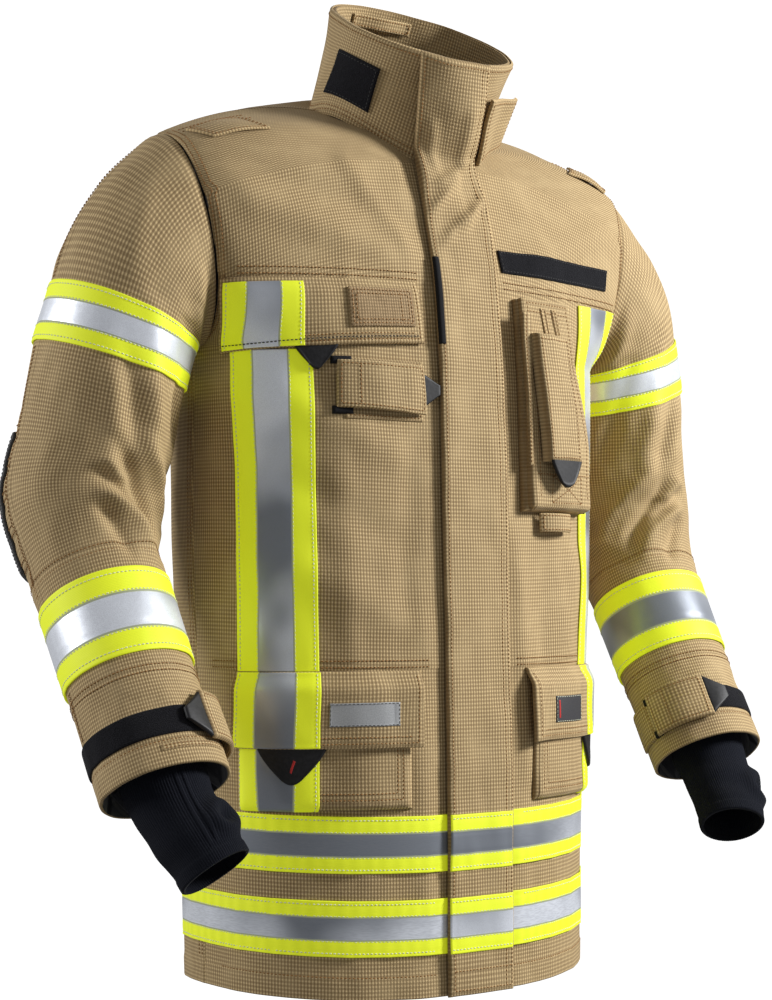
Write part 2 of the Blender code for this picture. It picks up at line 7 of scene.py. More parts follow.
import bpy
import numpy as np
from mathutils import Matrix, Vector

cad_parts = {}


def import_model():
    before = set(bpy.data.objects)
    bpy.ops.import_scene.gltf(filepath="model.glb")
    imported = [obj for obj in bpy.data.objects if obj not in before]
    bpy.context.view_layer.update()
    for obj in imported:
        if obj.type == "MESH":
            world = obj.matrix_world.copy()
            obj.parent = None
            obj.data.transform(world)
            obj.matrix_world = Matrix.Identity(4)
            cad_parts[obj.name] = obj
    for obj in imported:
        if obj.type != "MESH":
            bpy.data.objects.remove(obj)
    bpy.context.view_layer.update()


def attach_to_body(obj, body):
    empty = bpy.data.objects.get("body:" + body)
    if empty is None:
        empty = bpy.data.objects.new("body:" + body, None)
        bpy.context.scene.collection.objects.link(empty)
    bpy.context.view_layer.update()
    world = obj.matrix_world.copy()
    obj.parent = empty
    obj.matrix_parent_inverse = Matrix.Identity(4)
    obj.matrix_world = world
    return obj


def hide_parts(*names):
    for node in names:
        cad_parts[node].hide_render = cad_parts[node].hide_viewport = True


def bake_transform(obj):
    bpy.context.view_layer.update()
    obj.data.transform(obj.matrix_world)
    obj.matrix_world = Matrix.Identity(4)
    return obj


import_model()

# ------------------------------------------------------------------ the coat's driving dimensions
HANG = np.array([0.0, 0.030, 0.104])
HANDS = (("right", -1), ("left", 1))
FLAP_RIGHT, FLAP_LEFT = -0.034, 0.039
HEM_Z, WAIST_Z, YOKE_Z, BACK_YOKE_Z = -0.817, -0.527, -0.174, -0.150
HEM_DEPTH = 0.0200
HEM_BANDS = (("upper", (0.135, 0.195)), ("lower", (0.046, 0.106)))
WIDE_TAPE, NARROW_TAPE = 0.075, 0.050
SILVER = {WIDE_TAPE: 0.030, NARROW_TAPE: 0.019}
CLOTH = 0.0034
LOWER_POCKET_DEPTH, LOWER_FLAP_LIFT = 0.0112, 0.0145
RADIO_DEPTH, RADIO_FLAP_THICK = 0.0160, 0.0125

ROW = np.array([0.0, 0.24, 0.46, 0.66, 0.75, 0.83, 0.90, 0.95, 1.0])
ARMPIT_ROW, NECK_ROW = 3, 6
ARMPIT = np.array([0.2175, 0.012, -0.235])
SHOULDER_TIP = np.array([0.258, 0.010, -0.040])
ARMHOLE_DEPTH = 0.066
NECK_RX, NECK_RY = 0.092, 0.075
NECK_FRONT_Z, NECK_BACK_Z = -0.055, 0.035
SIDE = [(0.197, 0.020, -0.815), (0.204, 0.020, -0.615), (0.2155, 0.018, -0.410), tuple(ARMPIT)]
FRONT_CENTRE = [(-0.128, -0.822), (-0.125, -0.620), (-0.121, -0.420), (-0.114, -0.240),
                (-0.106, -0.170), (-0.092, -0.110)]
BACK_CENTRE = [(0.160, -0.835), (0.162, -0.620), (0.163, -0.415), (0.164, -0.240),
               (0.158, -0.140), (0.136, -0.060)]
FRONT_ROUND = [2.4, 2.4, 2.4, 2.5, 2.5, 2.4, 2.3, 2.2, 2.1]
BACK_ROUND = [2.3, 2.3, 2.3, 2.4, 2.4, 2.3, 2.2, 2.1, 2.1]
ARMHOLE_TURN = [180, 140, 106, 70, 35, 0]

COLLAR_TOP_Y = -0.047
COLLAR_TOP_RX, COLLAR_TOP_RY = 0.093, 0.079
COLLAR_TOP_Z, COLLAR_TILT = 0.075, 0.57
COLLAR_SLIT = 0.16
COLLAR_ROUND, COLLAR_TALL = 0.56, 0.11

SLEEVE = [
    (0.00, (0.2385, 0.010, -0.1375), (0.979, 0.000, -0.203), 0.0985, 0.0650),
    (0.09, (0.2632, 0.011, -0.1600), (0.883, 0.000, -0.469), 0.0860, 0.0680),
    (0.18, (0.2795, 0.013, -0.1850), (0.669, 0.000, -0.743), 0.0765, 0.0700),
    (0.27, (0.2890, 0.016, -0.2120), (0.360, 0.070, -0.930), 0.0700, 0.0700),
    (0.38, (0.3010, 0.021, -0.2580), (0.280, 0.090, -0.955), 0.0700, 0.0700),
    (0.50, (0.3100, 0.028, -0.3220), (0.220, 0.090, -0.970), 0.0700, 0.0700),
    (0.61, (0.3225, 0.031, -0.3800), (0.080, -0.200, -0.975), 0.0670, 0.0700),
    (0.70, (0.3200, 0.010, -0.4300), (-0.030, -0.480, -0.876), 0.0600, 0.0590),
    (0.84, (0.3155, -0.046, -0.5270), (-0.039, -0.505, -0.862), 0.0560, 0.0545),
    (1.00, (0.3110, -0.107, -0.6240), (-0.039, -0.520, -0.853), 0.0570, 0.0520),
]
WRIST = [
    (0.0, (0.3130, -0.088, -0.5900), (-0.040, -0.505, -0.862), 0.0390, 0.0360),
    (0.4, (0.3090, -0.116, -0.6340), (-0.140, -0.540, -0.830), 0.0365, 0.0330),
    (1.0, (0.2920, -0.160, -0.6860), (-0.300, -0.560, -0.772), 0.0320, 0.0290),
]
SLEEVE_BANDS = {"upper": (0.262, 0.376), "lower": (0.752, 0.850)}
PLEAT_PITCH = 0.045
WRISTLET_LENGTH = 0.14


# ------------------------------------------------------------------ surfaces as formulas

def smooth(keys, values, t):
    """Cubic through the key values; a value may be a row of numbers, t any array."""
    keys, values, t = np.asarray(keys, float), np.asarray(values, float), np.asarray(t, float)
    slope = np.gradient(values, keys, axis=0)
    i = np.clip(np.searchsorted(keys, t, side="right") - 1, 0, len(keys) - 2)
    h = keys[i + 1] - keys[i]
    u = (t - keys[i]) / h
    if values.ndim > 1:
        h, u = h[..., None], u[..., None]
    start, end = 2*u**3 - 3*u**2 + 1, 3*u**2 - 2*u**3
    return (start * values[i] + (u**3 - 2*u**2 + u) * h * slope[i]
            + end * values[i + 1] + (u**3 - u**2) * h * slope[i + 1])


def unit(v):
    return v / np.maximum(np.linalg.norm(v, axis=-1, keepdims=True), 1e-12)


def blend(a, b, t):
    return a + (b - a) * t


def ease(a, b, x):
    """0 below a, 1 above b, smooth between."""
    t = np.clip((np.asarray(x, float) - a) / (b - a), 0, 1)
    return t * t * (3 - 2 * t)


def stack(*parts):
    return np.stack(np.broadcast_arrays(*parts), -1)


def pair(a, b):
    """Two values or grids as arrays of one shape."""
    return np.broadcast_arrays(np.asarray(a, float), np.asarray(b, float))


def lengths(points):
    """Distance along a row of points."""
    return np.concatenate([[0], np.cumsum(np.linalg.norm(np.diff(points, axis=0), axis=1))])


def rect(x0, y0, x1, y1):
    """Corners of a rectangle, anticlockwise from the low right one."""
    return [(x0, y0), (x1, y0), (x1, y1), (x0, y1)]


def mirrored(corners, way):
    """Corners given for one side, turned over when way is negative and still anticlockwise."""
    if way > 0:
        return corners
    a, b, c, d = [(-x, y) for x, y in corners]
    return [b, a, d, c]


LATTICE = np.random.default_rng(11).uniform(-1, 1, (97, 64))


def noise(x, y, period=97):
    """Smooth value noise between -1 and 1; x repeats after period steps."""
    x, y = pair(x, y)
    i, j = np.floor(x).astype(int), np.floor(y).astype(int)
    u, w = x - i, y - j
    u, w = u * u * (3 - 2 * u), w * w * (3 - 2 * w)
    i0, i1, j0, j1 = i % period, (i + 1) % period, j % 64, (j + 1) % 64
    return ((LATTICE[i0, j0] * (1 - u) + LATTICE[i1, j0] * u) * (1 - w)
            + (LATTICE[i0, j1] * (1 - u) + LATTICE[i1, j1] * u) * w)


def neckline(turn):
    """Point of the collar seam: turn 0 at centre front, pi at centre back, + to the left."""
    c = np.cos(turn)
    z = np.where(c > 0, NECK_FRONT_Z, NECK_BACK_Z) * c * c
    return stack(NECK_RX * np.sin(turn), -NECK_RY * c, z)


ARM_UP = unit(SHOULDER_TIP - ARMPIT)
ARM_OUT = np.array([ARM_UP[2], 0.0, -ARM_UP[0]])
ARMHOLE_CENTRE = (SHOULDER_TIP + ARMPIT) / 2
ARMHOLE_HALF = float(np.linalg.norm(SHOULDER_TIP - ARMPIT)) / 2


def armhole(turn, front):
    across = ARMHOLE_DEPTH * math.sin(turn) * (-1 if front else 1)
    return ARMHOLE_CENTRE + ARM_UP * ARMHOLE_HALF * math.cos(turn) + np.array([0.0, across, 0.0])


def row_ends(front):
    inner = [(0.0, y, z) for y, z in (FRONT_CENTRE if front else BACK_CENTRE)]
    start = 0.0 if front else math.pi
    inner += [tuple(neckline(start + (math.pi / 2 - start) * part)) for part in (0, 0.5, 1)]
    outer = SIDE[:ARMPIT_ROW] + [tuple(armhole(math.radians(a), front)) for a in ARMHOLE_TURN]
    return np.array(inner), np.array(outer)


def with_corner(values, corner, v):
    """Cubic along the rows, with a corner allowed at the given row."""
    low = smooth(ROW[:corner + 1], values[:corner + 1], np.minimum(v, ROW[corner]))
    high = smooth(ROW[corner:], values[corner:], np.maximum(v, ROW[corner]))
    return np.where((v <= ROW[corner])[:, None], low, high)


LEVELS = np.linspace(0, 1, 481)
SHARES = np.linspace(0, 1, 241)


def row_table(front):
    """Points of every body row at even shares of its length, and the rows' lengths."""
    inner, outer = row_ends(front)
    c = with_corner(inner, NECK_ROW, LEVELS)[:, None, :]
    s = with_corner(outer, ARMPIT_ROW, LEVELS)[:, None, :]
    power = 2 / smooth(ROW, FRONT_ROUND if front else BACK_ROUND, LEVELS)[:, None]
    turn = np.linspace(0, math.pi / 2, 400)[None, :]
    out, fore = np.sin(turn) ** power, np.clip(np.cos(turn), 0, 1) ** power
    drop = np.sin(turn) ** 2
    points = stack(c[..., 0] + (s[..., 0] - c[..., 0]) * out, s[..., 1] + (c[..., 1] - s[..., 1]) * fore,
                   c[..., 2] + (s[..., 2] - c[..., 2]) * drop)
    legs = np.linalg.norm(np.diff(points, axis=1), axis=2)
    length = np.concatenate([np.zeros((len(LEVELS), 1)), np.cumsum(legs, axis=1)], axis=1)
    table = np.empty((len(LEVELS), len(SHARES), 3))
    for k in range(len(LEVELS)):
        for axis in range(3):
            table[k, :, axis] = np.interp(SHARES * length[k, -1], length[k], points[k, :, axis])
    return table, length[:, -1]


TABLES = {True: row_table(True), False: row_table(False)}


def row_width(v, front=True):
    return np.interp(v, LEVELS, TABLES[front][1])


def read_table(table, v, share):
    a = np.clip(v, 0, 1) * (len(LEVELS) - 1)
    b = np.clip(share, 0, 1) * (len(SHARES) - 1)
    i, j = np.minimum(a.astype(int), len(LEVELS) - 2), np.minimum(b.astype(int), len(SHARES) - 2)
    a, b = (a - i)[..., None], (b - j)[..., None]
    return ((table[i, j] * (1 - b) + table[i, j + 1] * b) * (1 - a)
            + (table[i + 1, j] * (1 - b) + table[i + 1, j + 1] * b) * a)


def body(s, v, front=True):
    """Point s metres along row v from the centre; past the side seam the front carries on round the back."""
    s, v = pair(s, v)
    here, other = row_width(v, front), row_width(v, not front)
    along = np.abs(s)
    point = read_table(TABLES[front][0], v, along / here)
    if front:
        behind = read_table(TABLES[False][0], v, (other - (along - here)) / other)
        point = np.where((along > here)[..., None], behind, point)
    point = point.copy()
    point[..., 0] = np.where(s < 0, -point[..., 0], point[..., 0])
    return point


def row_at(s, z, front=True):
    """The row that passes height z at s."""
    s, z = pair(s, z)
    low, high = np.zeros(s.shape), np.ones(s.shape)
    for _ in range(22):
        middle = (low + high) / 2
        below = body(s, middle, front)[..., 2] < z
        low, high = np.where(below, middle, low), np.where(below, high, middle)
    return (low + high) / 2


def body_normal(s, v, front=True):
    step = 0.005
    s, v = pair(s, v)
    end = np.where(v > ROW[ARMPIT_ROW], row_width(v, front), np.inf)
    along = body(np.minimum(s + step, end), v, front) - body(np.maximum(s - step, -end), v, front)
    up = body(s, np.minimum(v + step, 1), front) - body(s, np.maximum(v - step, 0), front)
    return unit(np.cross(along, up)) * (1 if front else -1)


# Soft folds of the body, each a ridge or hollow: (x, z) of one end and of the other, width, height.
FOLD_SCALE = 1.5
FRONT_FOLDS = [
    (-0.235, -0.10, -0.06, -0.155, 0.017, 0.0030), (-0.220, -0.075, -0.04, -0.118, 0.013, -0.0016),
    (0.225, -0.09, 0.07, -0.150, 0.016, 0.0024), (-0.115, -0.055, -0.045, -0.16, 0.011, 0.0018),
    (-0.205, -0.27, -0.06, -0.345, 0.018, 0.0024), (-0.208, -0.335, -0.07, -0.42, 0.017, -0.0018),
    (-0.195, -0.42, -0.05, -0.50, 0.019, 0.0020), (-0.135, -0.33, -0.120, -0.52, 0.014, 0.0018),
    (-0.060, -0.30, -0.075, -0.51, 0.013, -0.0016), (0.055, -0.40, 0.065, -0.63, 0.012, 0.0024),
    (0.095, -0.42, 0.090, -0.53, 0.014, -0.0014), (0.150, -0.42, 0.12, -0.52, 0.018, 0.0018),
    (-0.060, -0.54, -0.052, -0.78, 0.012, 0.0018), (-0.130, -0.55, -0.150, -0.80, 0.020, -0.0014),
    (0.060, -0.55, 0.055, -0.78, 0.013, 0.0016), (-0.190, -0.47, -0.175, -0.64, 0.016, 0.0018),
]
BACK_FOLDS = [
    (-0.19, -0.12, -0.05, -0.20, 0.020, 0.0035), (0.19, -0.12, 0.05, -0.20, 0.020, 0.0035),
    (-0.17, -0.20, -0.10, -0.50, 0.022, 0.0030), (0.17, -0.20, 0.11, -0.46, 0.022, 0.0030),
    (-0.03, -0.25, -0.045, -0.66, 0.026, 0.0026), (0.05, -0.34, 0.040, -0.70, 0.024, 0.0026),
    (0.13, -0.45, 0.12, -0.78, 0.020, 0.0022), (-0.13, -0.46, -0.14, -0.78, 0.020, 0.0022),
]


def ridge(x, z, fold):
    x0, z0, x1, z1, width, height = fold
    dx, dz = x1 - x0, z1 - z0
    along = ((x - x0) * dx + (z - z0) * dz) / (dx * dx + dz * dz)
    near = np.clip(along, 0, 1)
    gap = np.hypot(x - x0 - dx * near, z - z0 - dz * near)
    fade = ease(-0.15, 0.22, along) * ease(-0.15, 0.22, 1 - along)
    return height * np.exp(-(gap / width) ** 2) * fade


def drape(p):
    """How far the cloth of the body stands off its plain form. It stays flat along the armholes."""
    x, y, z = p[..., 0], p[..., 1], p[..., 2]
    turn = np.arctan2(x, 0.02 - y) / (2 * math.pi)
    broad = 0.0018 * noise(turn * 14, z / 0.21, 14) + 0.0010 * noise(turn * 34, z / 0.12 + 9, 34)
    fine = 0.0004 * noise(turn * 88 + z * 16, z / 0.05 + 5, 88)
    folds = FOLD_SCALE * sum(ridge(x, z, fold) for fold in FRONT_FOLDS) * ease(-0.01, 0.06, -y)
    folds = folds + FOLD_SCALE * sum(ridge(x, z, fold) for fold in BACK_FOLDS) * ease(0.04, 0.10, y)
    inside = (ARMHOLE_CENTRE[0] - np.abs(x)) * ARM_OUT[0] + (ARMHOLE_CENTRE[2] - z) * ARM_OUT[2]
    loose = np.maximum(ease(0.0, 0.035, inside), ease(0.0, 0.06, ARMPIT[2] - z))
    return (broad + fine + folds) * loose * (1 - 0.75 * ease(-0.06, -0.03, z))


class RowSurface:
    """Places points by (s, row share) on the front or the back of the body."""

    def __init__(self, front):
        self.front = front

    def at(self, s, v, lift):
        p = body(s, v, self.front)
        n = body_normal(s, v, self.front)
        return p + n * (drape(p) + lift)[..., None], n


ROWS, BACK = RowSurface(True), RowSurface(False)


class BodySurface:
    """Places points by (s, z) on the front of the body."""

    def at(self, s, z, lift):
        return ROWS.at(s, row_at(s, z), lift)


def whole_round(v):
    return 2 * (row_width(v) + row_width(v, False))


class RoundSurface:
    """Places points by (distance round the body, row share), from the front centre to the left."""

    def at(self, s, v, lift):
        s, v = pair(s, v)
        whole = whole_round(v)
        return ROWS.at(np.where(s < whole / 2, s, s - whole), v, lift)


class CollarSurface:
    """Places points by (turn, t) on the collar: t from the seam to the top edge."""

    def plain(self, turn, t):
        y = COLLAR_TOP_Y - COLLAR_TOP_RY * np.cos(turn)
        z = COLLAR_TOP_Z + COLLAR_TILT * (y + 0.05)
        top = stack(COLLAR_TOP_RX * np.sin(turn), y, z)
        t = np.asarray(t, float)[..., None]
        return neckline(turn) * (1 - t) + top * t

    def at(self, turn, t, lift):
        turn, t = pair(turn, t)
        step = 0.02
        along = self.plain(turn + step, t) - self.plain(turn - step, t)
        up = self.plain(turn, t + step) - self.plain(turn, t - step)
        n = unit(np.cross(along, up))
        wave = 0.0030 * noise(turn * 2.6 + 40, t * 1.8 + 3)
        wave = wave + 0.0022 * np.sin(t * math.pi) * noise(turn * 1.5, 7)
        return self.plain(turn, t) + n * (wave + lift)[..., None], n


def tube_frame(sections, t):
    rows = [[*section[1], *section[2], section[3], section[4]] for section in sections]
    found = smooth([section[0] for section in sections], rows, t)
    way = unit(found[..., 3:6])
    out = unit(stack(-way[..., 2], 0.0, way[..., 0]))
    return found[..., :3], out, np.cross(way, out), way, found[..., 6], found[..., 7]


# Folds of the sleeve: (share along, turn, share along, turn, width m, height m). Turn is in quarter turns:
# 0 outside, 1 front, 2 inside, 3 back. QUARTER and ARM are the metres of a quarter turn and of the arm.
QUARTER, ARM = 0.105, 0.55
SLEEVE_FOLDS = [
    (0.50, 0.85, 0.70, 1.50, 0.009, -0.0085), (0.48, 1.10, 0.67, 1.80, 0.010, 0.0080),
    (0.62, 0.82, 0.725, 1.40, 0.010, 0.0080), (0.655, 0.80, 0.738, 1.10, 0.008, -0.0062),
    (0.57, 0.78, 0.64, 1.15, 0.009, -0.0052), (0.54, 0.78, 0.60, 1.05, 0.009, 0.0044),
    (0.25, 0.90, 0.49, 1.25, 0.011, 0.0070), (0.24, 1.25, 0.47, 1.62, 0.010, -0.0066),
    (0.38, 0.72, 0.56, 0.95, 0.011, 0.0040), (0.32, 0.74, 0.50, 1.05, 0.009, -0.0040),
    (0.40, 2.35, 0.57, 1.85, 0.012, 0.0040), (0.52, 2.40, 0.645, 1.80, 0.010, -0.0042),
    (0.60, 2.30, 0.70, 1.70, 0.010, 0.0034), (0.68, 2.10, 0.735, 1.50, 0.008, -0.0026),
    (0.905, 0.9, 0.985, 1.35, 0.010, 0.0022), (0.885, 0.2, 0.93, 0.9, 0.010, -0.0018),
    (0.08, 0.45, 0.25, 0.75, 0.012, 0.0024), (0.06, 1.2, 0.24, 1.5, 0.012, 0.0044),
    (0.05, 1.5, 0.20, 1.75, 0.010, -0.0036), (0.08, 2.8, 0.25, 2.4, 0.012, 0.0040),
    (0.30, 3.1, 0.50, 3.3, 0.014, -0.0025),
]


class TubeSurface:
    """Places points by (turn, t) on a tube of the left or right arm."""

    def __init__(self, sections, left, folded=True):
        self.sections, self.left, self.folded = sections, left, folded
        self.lean = 0.0 if left else 0.35

    def wave(self, turn, t):
        if not self.folded:
            return np.zeros(np.broadcast(turn, t).shape)
        quarter = np.mod(turn / (math.pi / 2), 4)
        found = 0.0
        for t0, q0, t1, q1, width, height in SLEEVE_FOLDS:
            for lap in (-4, 0, 4):
                fold = (q0 * QUARTER + self.lean * 0.01, t0 * ARM, q1 * QUARTER, t1 * ARM, width, height)
                found = found + ridge((quarter + lap) * QUARTER, t * ARM, fold)
        pleat = ease(0.47, 0.50, t) * ease(0.47, 0.50, 1.21 - t) * np.exp(-((quarter - 3.80) / 0.13) ** 4)
        found = found - 0.0016 * pleat * np.abs(np.sin((t - 0.50) / PLEAT_PITCH * math.pi)) ** 6
        found = found + 0.0007 * ease(3.905, 3.925, quarter) * ease(3.905, 3.925, 7.90 - quarter)
        found = found + 0.0012 * noise(quarter * 3.5, t * 9 + self.lean * 20, 14)
        found = found + 0.0006 * noise(quarter * 9 + t * 7, t * 22, 36)
        at_band = np.maximum(np.exp(-((t - 0.32) / 0.07) ** 4), np.exp(-((t - 0.81) / 0.08) ** 4))
        at_cuff = ease(0.90, 0.93, t)
        return found * (1 - 0.72 * at_band) * (1 - 0.55 * at_cuff) * ease(0.0, 0.07, t)

    def at(self, turn, t, lift):
        turn, t = pair(turn, t)
        centre, out, fore, _, half, deep = tube_frame(self.sections, t)
        c, s = np.cos(turn)[..., None], np.sin(turn)[..., None]
        n = unit(out * c * deep[..., None] + fore * s * half[..., None])
        p = centre + out * half[..., None] * c + fore * deep[..., None] * s
        p = p + n * (self.wave(turn, t) + lift)[..., None]
        if not self.left:
            flip = np.array([-1, 1, 1])
            p, n = p * flip, n * flip
        return p, n


class Laid:
    """A finished surface, read by the values along its two edges, that thread can be laid on."""

    def __init__(self, a, b, points, normals):
        self.a, self.b, self.points, self.normals = np.asarray(a), np.asarray(b), points, normals

    def at(self, a, b, lift):
        a, b = pair(a, b)
        x = np.interp(a, self.a, np.arange(len(self.a)))
        y = np.interp(b, self.b, np.arange(len(self.b)))
        i, j = np.minimum(x.astype(int), len(self.a) - 2), np.minimum(y.astype(int), len(self.b) - 2)
        x, y = (x - i)[..., None], (y - j)[..., None]

        def read(values):
            return ((values[i, j] * (1 - y) + values[i, j + 1] * y) * (1 - x)
                    + (values[i + 1, j] * (1 - y) + values[i + 1, j + 1] * y) * x)

        n = unit(read(self.normals))
        return read(self.points) + n * np.asarray(lift)[..., None], n


BODY, ROUND, COLLAR = BodySurface(), RoundSurface(), CollarSurface()


# ------------------------------------------------------------------ meshes

class Mesh:
    """Gathers grids of quads, with a UV in metres on each corner, into one object."""

    def __init__(self):
        self.points, self.quads, self.uv, self.look, self.count = [], [], [], [], 0

    def add(self, points, quads, uv, look=0):
        self.points.append(points.reshape(-1, 3))
        self.quads.append(quads + self.count)
        self.uv.append(uv)
        self.look.append(np.broadcast_to(look, len(quads)))
        self.count += points.size // 3

    def cloth(self, top, bottom, uv, under=0, closed=False):
        """A sheet between two grids of points, with its rim closed; under is the look of its inside."""
        ni, nj = top.shape[:2]
        n = ni * nj
        i, j = np.meshgrid(np.arange(ni if closed else ni - 1), np.arange(nj - 1), indexing="ij")
        i, j = i.ravel(), j.ravel()
        ci, cj = np.stack([i, i + 1, i + 1, i], -1), np.stack([j, j, j + 1, j + 1], -1)
        corner = (ci % ni) * nj + cj
        quads, uvs = [corner, n + corner[:, ::-1]], [uv[ci, cj], uv[ci, cj][:, ::-1]]

        def rim(i0, j0, i1, j1):
            a, b = (i0 % ni) * nj + j0, (i1 % ni) * nj + j1
            quads.append(np.stack([a, b, n + b, n + a], -1))
            uvs.append(np.stack([uv[i0, j0], uv[i1, j1], uv[i1, j1], uv[i0, j0]], -2))

        k = np.arange(ni if closed else ni - 1)
        rim(k + 1, k * 0, k, k * 0)
        rim(k, k * 0 + nj - 1, k + 1, k * 0 + nj - 1)
        if not closed:
            k = np.arange(nj - 1)
            rim(k * 0, k, k * 0, k + 1)
            rim(k * 0 + ni - 1, k + 1, k * 0 + ni - 1, k)
        look = np.zeros(sum(map(len, quads)), int)
        look[len(corner):2 * len(corner)] = under
        points = np.concatenate([top.reshape(-1, 3), bottom.reshape(-1, 3)])
        self.add(points, np.concatenate(quads), np.concatenate(uvs), look)

    def make(self, name, looks):
        mesh = bpy.data.meshes.new(name)
        points, quads = np.concatenate(self.points), np.concatenate(self.quads)
        mesh.vertices.add(len(points))
        mesh.vertices.foreach_set("co", (points - HANG).astype(np.float32).ravel())
        mesh.loops.add(quads.size)
        mesh.loops.foreach_set("vertex_index", quads.astype(np.int32).ravel())
        mesh.polygons.add(len(quads))
        mesh.polygons.foreach_set("loop_start", np.arange(0, quads.size, 4, dtype=np.int32))
        for look in looks:
            mesh.materials.append(look)
        mesh.polygons.foreach_set("material_index", np.concatenate(self.look).astype(np.int32))
        mesh.polygons.foreach_set("use_smooth", np.ones(len(quads), bool))
        layer = mesh.uv_layers.new(name="UVMap")
        layer.data.foreach_set("uv", np.concatenate(self.uv).astype(np.float32).ravel())
        mesh.update(calc_edges=True)
        mesh.validate()
        piece = bpy.data.objects.new(name, mesh)
        bpy.context.scene.collection.objects.link(piece)
        return piece


def grid_normals(points, closed=False):
    if closed:
        along = np.roll(points, -1, 0) - np.roll(points, 1, 0)
    else:
        along = np.gradient(points, axis=0)
    return unit(np.cross(along, np.gradient(points, axis=1)))


def world(point):
    return tuple(np.asarray(point) - HANG)


def bend_table():
    """For each bending group: the two bodies, and where the bend starts and ends."""
    bends = {"flap_bend": ("coat", "storm_flap", world((0, -0.11, -0.105)), world((0, -0.11, -0.190)))}
    for side, way in HANDS:
        flip = np.array([way, 1, 1])
        near, far = (world((ARMHOLE_CENTRE + ARM_OUT * out) * flip) for out in (0.004, 0.060))
        bends[f"shoulder_{side}"] = ("coat", f"upper_arm_{side}", near, far)
        near, far = (world(tube_frame(SLEEVE, np.array(t))[0] * flip) for t in (0.47, 0.735))
        bends[f"elbow_{side}"] = (f"upper_arm_{side}", f"forearm_{side}", near, far)
    return bends


BENDS = bend_table()


def attach(piece, where, slot, nodes=()):
    """Fixes a finished piece to a body, or for a bending group only sets its place into its mesh, and takes
    the place of CAD nodes.
    """
    if where in BENDS:
        first, second, start, end = BENDS[where]
        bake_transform(piece)
        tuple(start)
        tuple(end)
    else:
        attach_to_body(piece, where)
    if nodes:
        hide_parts(*nodes)
    return piece


# The colour slot of each look; the few pieces in another slot name it.
SLOTS = {
    "shell": "shell_fabric", "shell_painted_shade": "shell_fabric", "label": "shell_fabric", "red": "shell_fabric",
    "label_dark": "shell_fabric", "loop": "loop_pile", "tape": "loop_pile", "rubber": "rubber_pull",
    "metal": "zip_metal", "trim75": "reflective_trim", "trim50": "reflective_trim", "knit": "wristlet_knit",
    "pad": "elbow_pad", "lining": "lining",
}


def sheet_piece(name, grids, looks, where, nodes=(), closed=False, slot=None):
    """A finished piece from its outer grid, inner grid and UV; a second look is its inside."""
    mesh = Mesh()
    mesh.cloth(*grids, len(looks) - 1, closed)
    return attach(mesh.make(name, [LOOKS[look] for look in looks]), where, slot or SLOTS[looks[0]], nodes)


def steps(length, pitch=0.004, edge=0.0015):
    """Shares along an edge, close together at its two ends."""
    e = min(edge / length, 0.2)
    inner = np.linspace(e, 1 - e, max(int(length / pitch), 2) + 1)
    return np.concatenate([[0, e * 0.12, e * 0.45], inner, [1 - e * 0.45, 1 - e * 0.12, 1]])


def edge_rise(gap, radius):
    """0 at an edge, 1 from radius inwards, round between."""
    x = np.clip(gap / radius, 0, 1)
    return np.sqrt(1 - (1 - x) ** 2)


def seam_dip(gap, depth=0.0004, width=0.0014):
    """The hollow that a row of stitches pulls into cloth; gap is the distance from it."""
    return -depth * np.exp(-(gap / width) ** 2)


class Patch:
    """A piece of cloth laid on a surface. Corners run from the low right (-s) one, anticlockwise."""

    def __init__(self, surface, corners, lift, thickness, shape=None, radius=0.0013, pitch=0.0035, hem=0.0):
        c = np.array(corners, float)
        self.surface = surface
        middle = [surface.at(*((c[a] + c[b]) / 2), np.array(0.0))[0]
                  for a, b in ((0, 3), (1, 2), (0, 1), (2, 3))]
        self.width = float(np.linalg.norm(middle[0] - middle[1]))
        self.height = float(np.linalg.norm(middle[2] - middle[3]))
        i, j = steps(self.width, pitch), steps(self.height, pitch)
        share_i, share_j = np.meshgrid(i, j, indexing="ij")
        x, y = share_i * self.width, share_j * self.height
        low, high = (c[a] + (c[b] - c[a]) * share_i[..., None] for a, b in ((0, 1), (3, 2)))
        place = low + (high - low) * share_j[..., None]
        gap = np.minimum(np.minimum(x, self.width - x), np.minimum(y, self.height - y))
        base = surface.at(place[..., 0], place[..., 1], 0.0)[0]
        n = grid_normals(base)
        lifts = lift(x, y) if callable(lift) else lift + 0 * x
        rise = edge_rise(gap, radius)
        more = shape(x, y) if shape else 0.0 * x
        if hem:
            more = more + seam_dip(gap - hem)
        self.bottom = base + n * lifts[..., None]
        self.top = base + n * (lifts + thickness * (0.1 + 0.9 * rise) + more * rise)[..., None]
        self.uv = np.stack([x, y], -1)
        self.x, self.y = i * self.width, j * self.height
        self.face = Laid(self.x, self.y, self.top, grid_normals(self.top))

    def at(self, x, y, lift):
        return self.face.at(x, y, lift)

    def make(self, name, look, where, nodes=(), shift=(0.0, 0.0), slot=None):
        grids = self.top, self.bottom, self.uv + np.array(shift)
        return sheet_piece(name, grids, [look], where, nodes, slot=slot)

    def sew_round(self, where, inset=0.004, skip="", colour="thread", **more):
        """Stitches inside the edges; skip names the sides left open, of n, s, e and w."""
        w, h, d = self.width, self.height, inset
        for side, path in (("s", [(d, d), (w - d, d)]), ("e", [(w - d, d), (w - d, h - d)]),
                           ("n", [(w - d, h - d), (d, h - d)]), ("w", [(d, h - d), (d, d)])):
            if side not in skip:
                sew(where, self, path, colour, **more)


# ------------------------------------------------------------------ stitches

THREADS = {}
THREAD, FINE_THREAD = 0.00052, 0.0003


